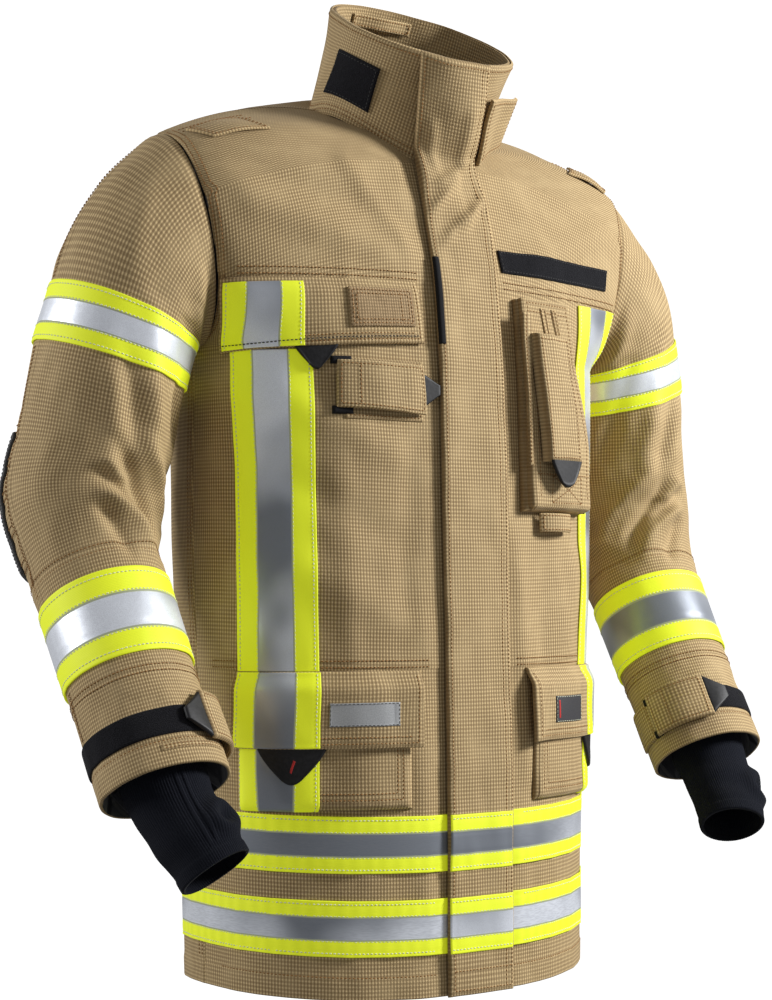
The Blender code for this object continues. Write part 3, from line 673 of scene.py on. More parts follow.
def sew(where, surface, path, colour="thread", pitch=0.0037, share=0.74, width=THREAD, lift=0.0):
    """A row of stitches along a path of surface values."""
    path = np.array(path, float)
    k = np.linspace(0, len(path) - 1, max(int((len(path) - 1) * 60), 2))
    a, b = (np.interp(k, np.arange(len(path)), path[:, c]) for c in (0, 1))
    p, n = surface.at(a, b, np.full(a.shape, lift))
    length = lengths(p)
    count = int(length[-1] / pitch)
    if count < 1:
        return
    pitch = length[-1] / count
    begin = (np.arange(count) + 0.5 - share / 2) * pitch

    def read(values, at):
        return np.stack([np.interp(at, length, values[:, c]) for c in range(3)], -1)

    ends = read(p, begin), read(p, begin + share * pitch)
    THREADS.setdefault((where, colour), []).append((*ends, unit(read(n, begin)), np.full(count, width)))


def make_threads():
    """Every stitch as a small spindle of thread with its ends sunk in the cloth."""
    for (where, colour), runs in THREADS.items():
        start, end, n, width = (np.concatenate([run[k] for run in runs]) for k in range(4))
        way = unit(end - start)
        side = unit(np.cross(way, n))
        wide = width[:, None]
        rings = []
        for t, r, up in ((0, 0.45, -0.5), (0.25, 1, 0.35), (0.75, 1, 0.35), (1, 0.45, -0.5)):
            centre = start + (end - start) * t + n * wide * up
            rings.append(np.stack([centre + side * wide * r, centre + n * wide * r * 0.8,
                                   centre - side * wide * r, centre - n * wide * r * 0.8], 1))
        points = np.stack(rings, 1)
        quads = []
        for ring in range(3):
            for k in range(4):
                a, b = ring * 4 + k, ring * 4 + (k + 1) % 4
                quads.append((a, a + 4, b + 4, b))
        quads += [(0, 1, 2, 3), (15, 14, 13, 12)]
        faces = (np.arange(len(start))[:, None, None] * 16 + np.array(quads)[None]).reshape(-1, 4)
        mesh = Mesh()
        mesh.add(points, faces, np.zeros((len(faces), 4, 2)))
        piece = mesh.make(f"stitches_{colour}_{where}", [LOOKS[colour]])
        attach(piece, where, "shell_fabric")


# ------------------------------------------------------------------ materials

class Look:
    """A material whose pattern follows the cloth's UV in metres."""

    def __init__(self, name, roughness=0.8, metallic=0.0, sheen=0.0, specular=0.5):
        self.made = bpy.data.materials.new(name)
        self.made.use_nodes = True
        self.tree = self.made.node_tree
        self.shader = self.tree.nodes["Principled BSDF"]
        for key, value in (("Roughness", roughness), ("Metallic", metallic), ("Sheen Weight", sheen),
                           ("Sheen Roughness", 0.45), ("Specular IOR Level", specular)):
            self.shader.inputs[key].default_value = value
        self.map = self.node("ShaderNodeUVMap", uv_map="UVMap")
        self.u, self.v, _ = self.parts(self.map)

    def feed(self, socket, value):
        if hasattr(value, "is_output"):
            self.tree.links.new(value, socket)
        elif hasattr(value, "__len__"):
            socket.default_value = (*value, 1)
        else:
            socket.default_value = value

    def node(self, kind, *values, output=0, **settings):
        made = self.tree.nodes.new(kind)
        for key, value in settings.items():
            setattr(made, key, value)
        for k, value in enumerate(values):
            if value is not None:
                self.feed(made.inputs[k], value)
        return made.outputs[output]

    def parts(self, vector):
        made = self.tree.nodes.new("ShaderNodeSeparateXYZ")
        self.tree.links.new(vector, made.inputs[0])
        return list(made.outputs)

    def math(self, operation, *values):
        return self.node("ShaderNodeMath", *values, operation=operation)

    def add(self, a, b):
        return self.math("ADD", a, b)

    def minus(self, a, b):
        return self.math("SUBTRACT", a, b)

    def times(self, a, b):
        return self.math("MULTIPLY", a, b)

    def step(self, value, low, high, start=0.0, end=1.0):
        return self.node("ShaderNodeMapRange", value, low, high, start, end,
                         interpolation_type="SMOOTHSTEP")

    def mix(self, share, a, b):
        made = self.tree.nodes.new("ShaderNodeMix")
        made.data_type = "RGBA"
        for k, value in ((0, share), (6, a), (7, b)):
            self.feed(made.inputs[k], value)
        return made.outputs[2]

    def noise(self, scale, detail=2.0, place=None):
        return self.node("ShaderNodeTexNoise", place or self.map, None, scale, detail,
                         noise_dimensions="3D")

    def beads(self, scale):
        return self.node("ShaderNodeTexVoronoi", self.map, None, scale)

    def finish(self, colour, height, depth):
        self.feed(self.shader.inputs["Base Color"], colour)
        bump = self.tree.nodes.new("ShaderNodeBump")
        bump.inputs["Distance"].default_value = depth
        self.feed(bump.inputs["Height"], height)
        self.tree.links.new(bump.outputs[0], self.shader.inputs["Normal"])
        return self.made


def cell(look, value, pitch):
    """Distance from the middle of each repeat of a pattern, 0 to 0.5."""
    share = look.math("FRACT", look.math("DIVIDE", value, pitch))
    return look.math("ABSOLUTE", look.minus(share, 0.5))


def ripstop(name, line, square, pitch_u=0.0030, pitch_v=0.0035):
    """Ripstop cloth: raised light threads in a grid over a darker ground, lightest where they cross."""
    look = Look(name, 0.82, sheen=0.05)
    across, along = [look.step(cell(look, c, pitch), 0.08, 0.36, 1.0, 0.0)
                     for c, pitch in ((look.u, pitch_u), (look.v, pitch_v))]
    cross = look.times(across, along)
    yarn = look.noise(2600.0, 1.0)
    wear = look.noise(26.0, 3.0)
    share = look.add(look.times(across, 0.38), look.times(along, 0.22))
    share = look.add(share, look.times(cross, 0.40))
    share = look.add(share, look.times(look.minus(yarn, 0.5), 0.45))
    colour = look.mix(look.math("MINIMUM", look.math("MAXIMUM", share, 0.0), 1.0), square, line)
    dark = tuple(0.80 * c for c in line)
    colour = look.mix(look.step(wear, 0.42, 0.75, 0.0, 0.30), colour, dark)
    return look.finish(colour, look.add(share, look.times(yarn, 0.35)), 0.00022)


def reflective(name, width):
    """Fluorescent tape with a silver stripe along its middle; y of the UV runs across it. The silver's light
    and dark patches are a painted reflection, and the tape's glow is painted light.
    """
    look = Look(name, 0.6)
    half = SILVER[width] / 2
    off = look.math("ABSOLUTE", look.minus(look.v, width / 2))
    middle = look.step(off, half - 0.0002, half + 0.0002, 1.0, 0.0)
    outside = look.minus(1.0, middle)
    weave = look.times(cell(look, look.u, 0.0009), cell(look, look.v, 0.0009))
    fine = look.add(look.times(weave, 2.0), look.times(look.noise(1400.0, 2.0), 0.5))
    yellow = look.mix(look.step(fine, 0.2, 0.8), (0.62, 0.70, 0.010), (0.76, 0.84, 0.020))
    bead = look.beads(2200.0)
    # Painted reflection: by the place on the object, two sine waves and a broad noise mix the silver between
    # dark grey and light grey, in place of what its folds would reflect.
    place = look.node("ShaderNodeTexCoord", output=3)
    x, _, z = look.parts(place)
    painted_reflection_rows = look.math("SINE", look.math("MULTIPLY_ADD", z, 22.4, 9.4))
    turns = look.math("SINE", look.math("MULTIPLY_ADD", x, 15.7, 0.47))
    sheet = look.math("MULTIPLY_ADD", look.add(painted_reflection_rows, turns), 0.11, look.noise(9.0, 1.5, place))
    grey = look.mix(look.step(sheet, 0.36, 0.64), (0.22, 0.24, 0.275), (0.88, 0.92, 1.0))
    grey = look.mix(look.step(bead, 0.0, 0.75, 0.35, 0.0), grey, (0.30, 0.31, 0.35))
    colour = look.mix(middle, yellow, grey)
    border = look.math("ABSOLUTE", look.minus(off, half + 0.0006))
    colour = look.mix(look.step(border, 0.0004, 0.0009, 0.75, 0.0), colour, (0.10, 0.10, 0.22))
    rough = look.add(look.step(bead, 0.0, 1.0, 0.30, 0.44), look.times(outside, 0.25))
    # Painted glow: the yellow gives off light of its own at strength 0.33 and the silver at 0.03, so the
    # tape stays bright where it lies in shade.
    for key, value in (("Metallic", look.times(middle, 0.55)), ("Emission Color", colour),
                       ("Roughness", rough),
                       ("Emission Strength", look.step(middle, 0.0, 1.0, 0.33, 0.03))):
        look.feed(look.shader.inputs[key], value)
    return look.finish(colour, look.add(look.times(fine, outside), look.times(bead, 0.3)), 0.00010)


def loop_pile():
    """Black hook-and-loop pile: short tangled loops."""
    look = Look("loop_pile", 0.95, sheen=0.04, specular=0.15)
    height = look.add(look.beads(1100.0), look.noise(900.0, 4.0))
    colour = look.mix(look.step(height, 0.4, 1.3), (0.0020, 0.0020, 0.0026), (0.011, 0.011, 0.014))
    return look.finish(colour, height, 0.0006)


def plain(name, low, high, roughness, scale=220.0, depth=0.0001, metallic=0.0, specular=0.5):
    """One colour that wanders a little between two values."""
    look = Look(name, roughness, metallic, specular=specular)
    value = look.noise(scale, 3.0)
    return look.finish(look.mix(look.step(value, 0.3, 0.7), low, high), value, depth)


def quilted(name):
    """Lining quilted in diamonds."""
    look = Look(name, 0.7, sheen=0.2)
    lines = [cell(look, line, 0.055) for line in (look.add(look.u, look.v), look.minus(look.u, look.v))]
    near = look.math("MINIMUM", *[look.minus(0.5, c) for c in lines])
    puff = look.step(near, 0.0, 0.22)
    colour = look.mix(look.step(near, 0.012, 0.03), (0.10, 0.10, 0.11), (0.045, 0.047, 0.055))
    return look.finish(colour, look.add(puff, look.times(look.noise(500.0), 0.03)), 0.003)


def knit():
    """Fine rib knit: columns of small V-shaped loops."""
    look = Look("wristlet_knit", 0.9, sheen=0.03, specular=0.15)
    lean = look.times(cell(look, look.u, 0.0016), 0.0016)
    rows = cell(look, look.add(look.v, lean), 0.0012)
    height = look.add(look.times(rows, 1.2), look.times(look.noise(1500.0), 0.3))
    colour = look.mix(look.step(height, 0.1, 0.9), (0.0030, 0.0038, 0.0075), (0.0075, 0.0095, 0.017))
    return look.finish(colour, height, 0.0005)


def pad_cover():
    """Hard-wearing elbow cover: close rows of small raised dots."""
    look = Look("elbow_cover", 0.55, sheen=0.1)
    squares = [look.math("POWER", cell(look, c, 0.0032), 2.0) for c in (look.u, look.v)]
    height = look.step(look.math("SQRT", look.add(*squares)), 0.18, 0.34, 1.0, 0.0)
    colour = look.mix(height, (0.010, 0.010, 0.011), (0.026, 0.026, 0.028))
    return look.finish(colour, height, 0.0003)


LOOKS = {
    "shell": ripstop("shell_ripstop", (0.66, 0.490, 0.250), (0.215, 0.138, 0.056)),
    # Painted shade: a darker copy of the shell's ripstop colours, for the chest flap's tab, which is of
    # shell fabric too.
    "shell_painted_shade": ripstop("shell_ripstop_painted_shade", (0.50, 0.350, 0.180), (0.185, 0.115, 0.048), 0.0026,
                          0.0030),
    "trim75": reflective("reflective_75", WIDE_TAPE),
    "trim50": reflective("reflective_50", NARROW_TAPE),
    "loop": loop_pile(),
    "rubber": plain("rubber", (0.007, 0.007, 0.008), (0.014, 0.014, 0.016), 0.50, 300.0, 0.0001,
                    specular=0.3),
    "red": plain("red_mark", (0.42, 0.012, 0.010), (0.55, 0.02, 0.015), 0.45),
    "knit": knit(),
    "pad": pad_cover(),
    "lining": quilted("quilted_lining"),
    "tape": plain("zip_tape", (0.008, 0.008, 0.009), (0.014, 0.014, 0.016), 0.85, 1500.0, 0.0002,
                  specular=0.2),
    "metal": plain("zip_metal", (0.30, 0.28, 0.24), (0.42, 0.40, 0.35), 0.32, 150.0, 0.00003, metallic=1.0),
    "label": plain("label_grey", (0.36, 0.37, 0.38), (0.46, 0.47, 0.48), 0.42, 900.0, 0.00006,
                   metallic=0.35),
    "label_dark": plain("label_dark", (0.02, 0.02, 0.024), (0.035, 0.035, 0.04), 0.6, 900.0, 0.00006),
    "thread": plain("thread_ochre", (0.20, 0.090, 0.018), (0.34, 0.165, 0.038), 0.6, 400.0, 0.00005),
    "thread_light": plain("thread_light", (0.62, 0.64, 0.45), (0.80, 0.82, 0.62), 0.6, 400.0, 0.00005),
    "thread_dark": plain("thread_dark", (0.010, 0.010, 0.011), (0.03, 0.03, 0.03), 0.6, 400.0, 0.00005),
}


# ------------------------------------------------------------------ body

def column_length(front):
    """Length up the cloth to each row, along a column through the chest."""
    return lengths(body(np.full(LEVELS.shape, 0.12), LEVELS, front))


RISE = {True: column_length(True), False: column_length(False)}


SEAM_STITCHES = (0.0016, 0.0075)


def seam_step(z, line, height=0.0009):
    """The upper piece laps over the lower one at a seam."""
    return height * ease(-0.0006, 0.0008, z - line) * np.exp(-np.maximum(z - line, 0) / 0.018)


def panel(front, low_share, high_share):
    """Outer grid, inner grid and UV of a body panel; shares run from side to side of its rows."""
    rise = RISE[front]
    v = np.interp(steps(rise[-1] * 0.998, 0.0032, 0.002) * rise[-1] * 0.998, rise, LEVELS)
    wide = float(row_width(np.array(0.3), front)) * abs(high_share - low_share)
    i = steps(wide, 0.0032, 0.002)
    share, rows = np.meshgrid(i, v, indexing="ij")
    width = row_width(rows, front)
    low = front_gap(rows) if low_share == 0 else low_share * width
    high = -front_gap(rows) if high_share == 0 else high_share * width
    s = low + (high - low) * share
    base = body(s, rows, front)
    up = np.interp(rows, LEVELS, rise)
    n = body_normal(s, rows, front)
    z = base[..., 2]
    lift = drape(base)
    if front:
        seam = np.abs(s) > 0.036
        lift = lift + seam * (seam_step(z, YOKE_Z) + seam_step(z, WAIST_Z))
    else:
        lift = lift + seam_step(z, BACK_YOKE_Z)
    lift = lift + 0.0008 * (1 - ease(0.0005, 0.0020, up - HEM_DEPTH)) + seam_dip(up - HEM_DEPTH)
    hole = rows > ROW[ARMPIT_ROW]
    lift = lift - 0.0012 * hole * (1 - edge_rise(width - np.abs(s), 0.003))
    lift = lift + seam_dip((width - np.abs(s)) - 0.0050, 0.0003) * hole
    lift = lift + 0.0006 * (1 - hole) * ease(0.0, 0.0012, width - np.abs(s)) * (0 if front else 1)
    gap = np.minimum(share, 1 - share) * wide
    rim = 0.0008 * (edge_rise(np.minimum(gap, up), 0.0012) - 1)
    outer = base + n * (lift + rim)[..., None]
    inner = base + n * (np.minimum(lift, drape(base)) - 0.0016)[..., None]
    return outer, inner, np.stack([s, up], -1)


def front_gap(rows):
    """Half the opening between the front panels, which narrows at the neck."""
    return blend(0.0125, 0.001, np.clip((rows - 0.87) / 0.05, 0, 1))


def make_panels():
    for name, front, low, high, node in (("front_right", True, -1, 0, "front_panel_right"),
                                         ("front_left", True, 0, 1, "front_panel_left"),
                                         ("back", False, 1, -1, "back_panel")):
        piece = sheet_piece(name, panel(front, low, high), ["shell"], "coat", [node])


def rail(v0, v1, inset, way, front=True, count=24):
    """A path up the cloth at a set distance inside the side of the rows."""
    v = np.linspace(v0, v1, count)
    return np.stack([way * (row_width(v, front) - inset), v], -1)


def body_seams():
    """Topstitching of the body: yoke, waist, armholes, shoulders, side seams and hem."""
    for way in (-1, 1):
        for above in SEAM_STITCHES:
            z = YOKE_Z + above
            sew("coat", BODY, [(way * 0.050, z + 0.001), (way * 0.12, z), (way * 0.232, z - 0.003)],
                lift=0.0010)
            z = WAIST_Z + above
            sew("coat", BODY, [(way * 0.050, z), (way * 0.16, z), (way * 0.262, z)], lift=0.0010)
        for inset in (0.0040, 0.0095):
            sew("coat", ROWS, rail(0.675, 0.990, inset, way), lift=0.0002)
            sew("coat", BACK, rail(0.675, 0.990, inset, way, False), lift=0.0002)
            sew("coat", BACK, rail(0.030, 0.655, inset, way, False), lift=0.0006)
        for v in (0.975, 0.984):
            s = np.linspace(0.10, float(row_width(np.array(v))) - 0.012, 12)
            sew("coat", ROWS, np.stack([way * s, np.full(12, v)], -1), lift=0.0002)
        hem = np.interp(HEM_DEPTH, RISE[True], LEVELS)
        sew("coat", ROWS, [(way * s, hem) for s in (0.044, 0.15, 0.255)], lift=0.0004)
    hem = np.interp(HEM_DEPTH, RISE[False], LEVELS)
    sew("coat", BACK, [(s, hem) for s in np.linspace(-0.26, 0.26, 9)], lift=0.0004)
    for above in SEAM_STITCHES:
        s = np.linspace(-0.23, 0.23, 15)
        v = [float(row_at(np.array(x), np.array(BACK_YOKE_Z + above), False)) for x in s]
        sew("coat", BACK, np.stack([s, v], -1), lift=0.0010)


def make_lining():
    """Loose lining of the fronts and back, as one piece behind them."""
    mesh = Mesh()
    for front, spans in ((True, ((-1, 0), (0, 1))), (False, ((1, -1),))):
        v = np.linspace(0.03, 0.985, 110)
        for low, high in spans:
            share, rows = np.meshgrid(np.linspace(0, 1, 46 if front else 90), v, indexing="ij")
            width = row_width(rows, front)
            gap = front_gap(rows) + 0.008
            ends = [way * (width - 0.0003) if way else side * gap for way, side in ((low, 1), (high, -1))]
            s = ends[0] + (ends[1] - ends[0]) * share
            p, n = body(s, rows, front), body_normal(s, rows, front)
            lift = drape(p) - 0.0060
            outer, inner = p + n * lift[..., None], p + n * (lift - 0.0012)[..., None]
            mesh.cloth(outer, inner, np.stack([s, np.interp(rows, LEVELS, RISE[front])], -1))
    piece = attach(mesh.make("lining", [LOOKS["lining"]]), "coat", "lining", ["body_liner"])


# ------------------------------------------------------------------ front closure

def flap_base():
    """Grid of the storm flap's middle surface, from the hem up over the neck to the collar's top."""
    s = np.linspace(FLAP_RIGHT, FLAP_LEFT, 40)
    keys = [BODY.at(s, np.full(s.shape, z), 0.0030)[0] for z in np.arange(HEM_Z, -0.094, 0.010)]
    for t in np.linspace(0.12, 1.02, 13):
        turn = np.linspace(blend(-0.34, -0.58, t), blend(0.29, 0.18, t), len(s))
        keys.append(COLLAR.at(turn, np.full(s.shape, t), 0.0032)[0])
    keys = np.array(keys)
    length = lengths(keys[:, 20])
    j = steps(length[-1], 0.0035)
    up = smooth(length, keys.reshape(len(keys), -1), j * length[-1]).reshape(len(j), len(s), 3)
    width = FLAP_LEFT - FLAP_RIGHT
    i = steps(width, 0.0035)
    across = np.stack([[np.interp(i * width, s - s[0], row[:, c]) for c in range(3)] for row in up], 0)
    return np.moveaxis(across, 2, 0), i * width, j * length[-1]


# Creases of the storm flap where it bends over the neck: (across, below the top) twice, width, height.
NECK_CREASES = [
    (0.004, 0.152, 0.046, 0.112, 0.0048, 0.0052), (0.014, 0.128, 0.062, 0.094, 0.0044, 0.0046),
    (0.012, 0.182, 0.060, 0.140, 0.0052, 0.0044), (0.071, 0.132, 0.034, 0.168, 0.0048, 0.0036),
    (0.056, 0.040, 0.050, 0.104, 0.0060, 0.0030), (0.016, 0.060, 0.020, 0.112, 0.0060, 0.0024),
]

FLAP_SEAM = 0.0045


def make_storm_flap():
    base, x, y = flap_base()
    n = grid_normals(base)
    grid_x, grid_y = np.meshgrid(x, y, indexing="ij")
    far, end = x[-1], y[-1]
    below = end - grid_y
    gap = np.minimum(np.minimum(grid_x, far - grid_x), np.minimum(grid_y, below))
    pucker = 0.0007 * noise(grid_y / 0.022, grid_x / 0.03) + 0.0010 * noise(grid_y / 0.075 + 9,
                                                                            grid_x / 0.05)
    neck = ease(end - 0.24, end - 0.17, grid_y) * ease(0.0, 0.05, below)
    pucker = pucker + neck * 0.0036 * (0.55 + noise(grid_y / 0.042 + grid_x / 0.06, grid_x / 0.070 + 3, 61))
    pucker = pucker + sum(ridge(grid_x, below, fold) for fold in NECK_CREASES)
    seams = (FLAP_SEAM, far - 0.0030, far - 0.0095)
    lift = 0.0050 + pucker + sum(seam_dip(grid_x - seam) for seam in seams)
    base = base - np.array([0, 0, 0.0055]) * (1 - ease(0.0, 0.03, grid_y))[..., None]
    under, soft = 0.0008, edge_rise(gap, 0.004)
    top = base + n * (under + (lift - under) * edge_rise(gap, 0.0022))[..., None]
    bottom = base + n * (under * soft + np.minimum(0.6 * pucker, 0) * soft)[..., None]
    piece = sheet_piece("storm_flap_cover", (top, bottom, np.stack([grid_x, grid_y], -1)), ["shell"],
                        "flap_bend", ["storm_flap", "storm_flap_top"])
    face = Laid(x, y, top, grid_normals(top))
    end = end - 0.005
    for seam in seams:
        sew("flap_bend", face, [(seam, 0.005), (seam, end * 0.5), (seam, end)])
    for up in (0.005, 0.019, end):
        sew("flap_bend", face, [(FLAP_SEAM, up), (far - 0.003, up)])
    return face


class FlapSurface:
    """Places points by (s, z) on the outside of the storm flap."""

    def __init__(self, face):
        self.face = face
        z = face.points[len(face.a) // 2, :, 2]
        self.heights, self.along = z, face.b

    def at(self, s, z, lift):
        s, z = pair(s, z)
        return self.face.at(s - FLAP_RIGHT, np.interp(z, self.heights, self.along), lift)


def tape_shape(width, y):
    """Reflective tape is sewn down along both edges and beside the silver."""
    gap = np.minimum(y, width - y)
    return seam_dip(gap - 0.0035, 0.0003, 0.0010) + seam_dip(gap - (width - SILVER[width]) / 2, 0.0003,
                                                             0.0008)


def tape(name, surface, corners, lift, width, where, nodes=(), turned=False):
    """A length of reflective tape; turned lays it up the coat instead of across."""
    silver = SILVER[width]
    corners = corners[1:] + corners[:1] if turned else corners
    piece = Patch(surface, corners, lift, 0.0010, None, 0.0007, 0.0025)
    scale = width / piece.height
    shape = tape_shape(width, np.meshgrid(piece.x, piece.y * scale, indexing="ij")[1])
    piece.top = piece.top + grid_normals(piece.top) * shape[..., None]
    piece.uv = piece.uv * np.array([1.0, scale])
    piece.face = Laid(piece.x, piece.y, piece.top, grid_normals(piece.top))
    piece.make(name, "trim75" if width == WIDE_TAPE else "trim50", where, nodes)
    beside = (width + silver) / 2 + 0.0018
    for y, thread in ((0.0035, THREAD), (piece.height - 0.0035, THREAD),
                      ((width - beside) / scale, FINE_THREAD),
                      (beside / scale, FINE_THREAD)):
        path = [(0.001, y), (piece.width / 2, y), (piece.width - 0.001, y)]
        sew(where, piece, path, "thread_light", width=thread)


def make_hem_bands(flap):
    """Both bands run all round the coat and on over the storm flap."""
    start, right, left = 0.0400, FLAP_RIGHT + 0.0008, FLAP_LEFT - 0.0026
    for name, rows in HEM_BANDS:
        low, high = rows
        ends = [whole_round(v) - 0.0325 for v in rows]
        tape(f"hem_tape_{name}", ROUND, [(start, low), (ends[0], low), (ends[1], high), (start, high)],
             0.0016, NARROW_TAPE, "coat", [f"hem_band_{name}"])
        bottom, top = (float(body(np.array(0.0), np.array(v))[2]) for v in rows)
        tape(f"flap_tape_{name}", flap, rect(right, bottom, left, top), 0.0002, NARROW_TAPE, "storm_flap",
             [f"flap_band_{name}"])


TOOTH_PITCH = 0.0034


def make_zip():
    for side, way in HANDS:
        s, v = np.meshgrid(np.sort(np.linspace(0.0035, 0.0125, 6) * way), np.linspace(0.02, 0.80, 160),
                           indexing="ij")
        p, n = ROWS.at(s, v, -0.0004)
        uv = np.stack([s, np.interp(v, LEVELS, RISE[True])], -1)
        sheet_piece(f"zip_tape_cloth_{side}", (p, p - n * 0.0009, uv), ["tape"], "coat",
                    [f"zip_tape_{side}"], slot="zip_tape")
        teeth = Mesh()
        i, j = np.meshgrid(np.array([0, .1, .5, .9, 1]), np.array([0, .2, .8, 1]), indexing="ij")
        s = way * (-0.0006 + 0.0042 * (i if way > 0 else 1 - i))
        high = edge_rise(np.minimum(np.minimum(i, 1 - i) * 4, np.minimum(j, 1 - j) * 3), 0.6) * 0.0011
        length = np.interp(0.78, LEVELS, RISE[True]) - 0.02
        for k in range(int(length / TOOTH_PITCH)):
            row = np.interp(0.02 + k * TOOTH_PITCH + (TOOTH_PITCH / 2 if way > 0 else 0), RISE[True],
                            LEVELS)
            flat, n = ROWS.at(s, row + (j - 0.5) * 0.0026, 0.0006)
            teeth.cloth(flat + n * high[..., None], flat - n * 0.0016, np.stack([i, j], -1) * 0.003)
        attach(teeth.make(f"zip_teeth_{side}", [LOOKS["metal"]]), "coat", "zip_metal")
    slider = Patch(BODY, [(-0.0048, -0.262), (0.0048, -0.262), (0.0040, -0.242), (-0.0040, -0.242)],
                   0.0010, 0.0018,
                   lambda x, y: -0.0008 * np.exp(-((x - 0.0048) / 0.0012) ** 2), 0.002, 0.001)
    slider.make("zip_slider_body", "metal", "zip_slider", ["zip_slider"])
    pull = Patch(BODY, [(-0.0030, -0.292), (0.0030, -0.292), (0.0022, -0.259), (-0.0022, -0.259)], 0.0014,
                 0.0009, None, 0.001, 0.001)
    pull.make("zip_slider_pull", "metal", "zip_slider")


# ------------------------------------------------------------------ collar

def collar_sheet(name, low, high, t0, t1, radius, node, roll=0.0):
    turn, t = steps(COLLAR_ROUND, 0.0035), steps(COLLAR_TALL, 0.0035)
    grid_turn, grid_t = np.meshgrid(blend(COLLAR_SLIT, 2 * math.pi - COLLAR_SLIT, turn), blend(t0, t1, t),
                                    indexing="ij")
    base = COLLAR.at(grid_turn, grid_t, 0.0)[0]
    n = grid_normals(base)
    gap = np.minimum(np.minimum(turn, 1 - turn)[:, None] * COLLAR_ROUND, ((1 - t) * COLLAR_TALL)[None, :])
    lift = low + (high - low) * (0.1 + 0.9 * edge_rise(gap, radius)) + roll * seam_dip(gap - 0.006)
    uv = np.stack([grid_turn * 0.09, grid_t * COLLAR_TALL], -1)
    piece = sheet_piece(name, (base + n * lift[..., None], base + n * low, uv), ["shell"], "coat", [node])


def make_collar():
    collar_sheet("collar_outer", -0.0032, 0.0, -0.05, 1.0, 0.0028, "collar_shell", 1.0)
    collar_sheet("collar_inner", -0.0066, -0.0034, 0.04, 0.992, 0.0012, "collar_lining")
    turns = np.linspace(0.18, 2 * math.pi - 0.18, 40)
    for t in (0.945, 0.075, 0.020):
        sew("coat", COLLAR, [(turn, t) for turn in turns])
    loop = Patch(COLLAR, [(-1.50, 0.20), (-0.88, 0.18), (-0.90, 0.68), (-1.50, 0.70)], 0.0006, 0.0018,
                 pile_shape, 0.0010, 0.002)
    loop.make("collar_loop_pile", "loop", "coat", ["collar_loop_patch"])
    loop.sew_round("coat", 0.0025, colour="thread_dark")
    strap = Patch(COLLAR, [(0.45, -0.02), (1.03, 0.02), (1.04, 0.62), (0.41, 0.68)],
                  lambda x, y: 0.0050 + 0.0090 * ease(0.018, 0.052, x), 0.0036, None, 0.0018, 0.003, 0.004)
    strap.make("throat_tab", "shell", "throat_strap", ["throat_strap"])
    strap.sew_round("throat_strap", 0.004)
    hanger = Patch(HangerSurface(), rect(0.0, 0.80, 1.0, 0.93), 0.0, 0.0018, None, 0.0009, 0.003)
    hanger.make("hanger_loop_strip", "shell", "coat", ["hanger_loop"])
    hanger.sew_round("coat", 0.0022)
    facing = Patch(InnerCollar(), rect(0.0, 0.10, 1.0, 0.70), 0.0, 0.0014, None, 0.0009, 0.004)
    facing.make("collar_inner_band", "lining", "coat")


def pile_shape(x, y):
    return 0.0002 * noise(x / 0.002, y / 0.002)


class InnerCollar:
    """Places points by (share round, t) on the inside of the collar, facing inwards."""

    def at(self, share, t, lift):
        share, t = pair(share, t)
        turn = math.pi + blend(-2.7, 2.7, 1 - share)
        p, n = COLLAR.at(turn, t, np.full(share.shape, -0.0068) - lift)
        return p, -n


class HangerSurface:
    """Places points by (share, t) on the hanger strip, which stands off the inside of the back collar."""

    def at(self, share, t, lift):
        share, t = pair(share, t)
        turn = math.pi + blend(-0.42, 0.42, 1 - share)
        rise = 0.0006 + 0.0085 * np.sin(math.pi * np.clip((share - 0.06) / 0.88, 0, 1)) ** 1.2
        p, n = COLLAR.at(turn, t, -0.0072 - rise - lift)
        return p, -n


# ------------------------------------------------------------------ chest

def rubber_pull(name, s0, s1, top_z, drop, lift, where, nodes, surface=BODY, mark=True, tip=0.28):
    """A tapered rubber finger pull with a rounded tip, a raised rim and, with mark, a plain red bar."""
    middle, half = (s0 + s1) / 2, (s1 - s0) / 2
    i, j = steps(2 * half, 0.0014, 0.001), steps(drop, 0.0014, 0.001)
    share, up = np.meshgrid(i, j, indexing="ij")
    taper = 1 - (1 - tip) * (1 - up) ** 1.35
    s = middle + half * taper * (2 * share - 1)
    z = top_z - drop * (1 - up) + 0.0045 * (1 - up) * (2 * share - 1) ** 2
    base = surface.at(s, z, lift(s) if callable(lift) else lift)[0]
    n = grid_normals(base)
    gap = np.minimum(np.minimum(share, 1 - share) * 2 * half * taper, up * drop)
    rim = 0.0005 * np.exp(-((gap - 0.0022) / 0.0010) ** 2)
    top = base + n * (0.0004 + 0.0020 * edge_rise(gap, 0.0014) + rim)[..., None]
    sheet_piece(name, (top, base, np.stack([share * 2 * half, up * drop], -1)), ["rubber"], where, nodes)
    if mark:
        bar = Patch(Laid(i, j, top, grid_normals(top)),
                    [(0.46, 0.34), (0.50, 0.30), (0.57, 0.62), (0.53, 0.66)],
                    -0.0002, 0.0004, None, 0.0003, 0.0008)
        bar.make(f"{name}_mark", "red", where, slot="rubber_pull")


def hung(depth, reach=0.014):
    """Lift of a flap: from its seam at the top out to its full depth."""
    return lambda x, y: 0.0004 + (depth - 0.0004) * ease(0, reach, y.max() - y)


def ripple(height, across, up, start=0.0, below=0.0):
    """Shape of cloth that waves a little."""
    return lambda x, y: height * noise(x / across + start, y / up + below)


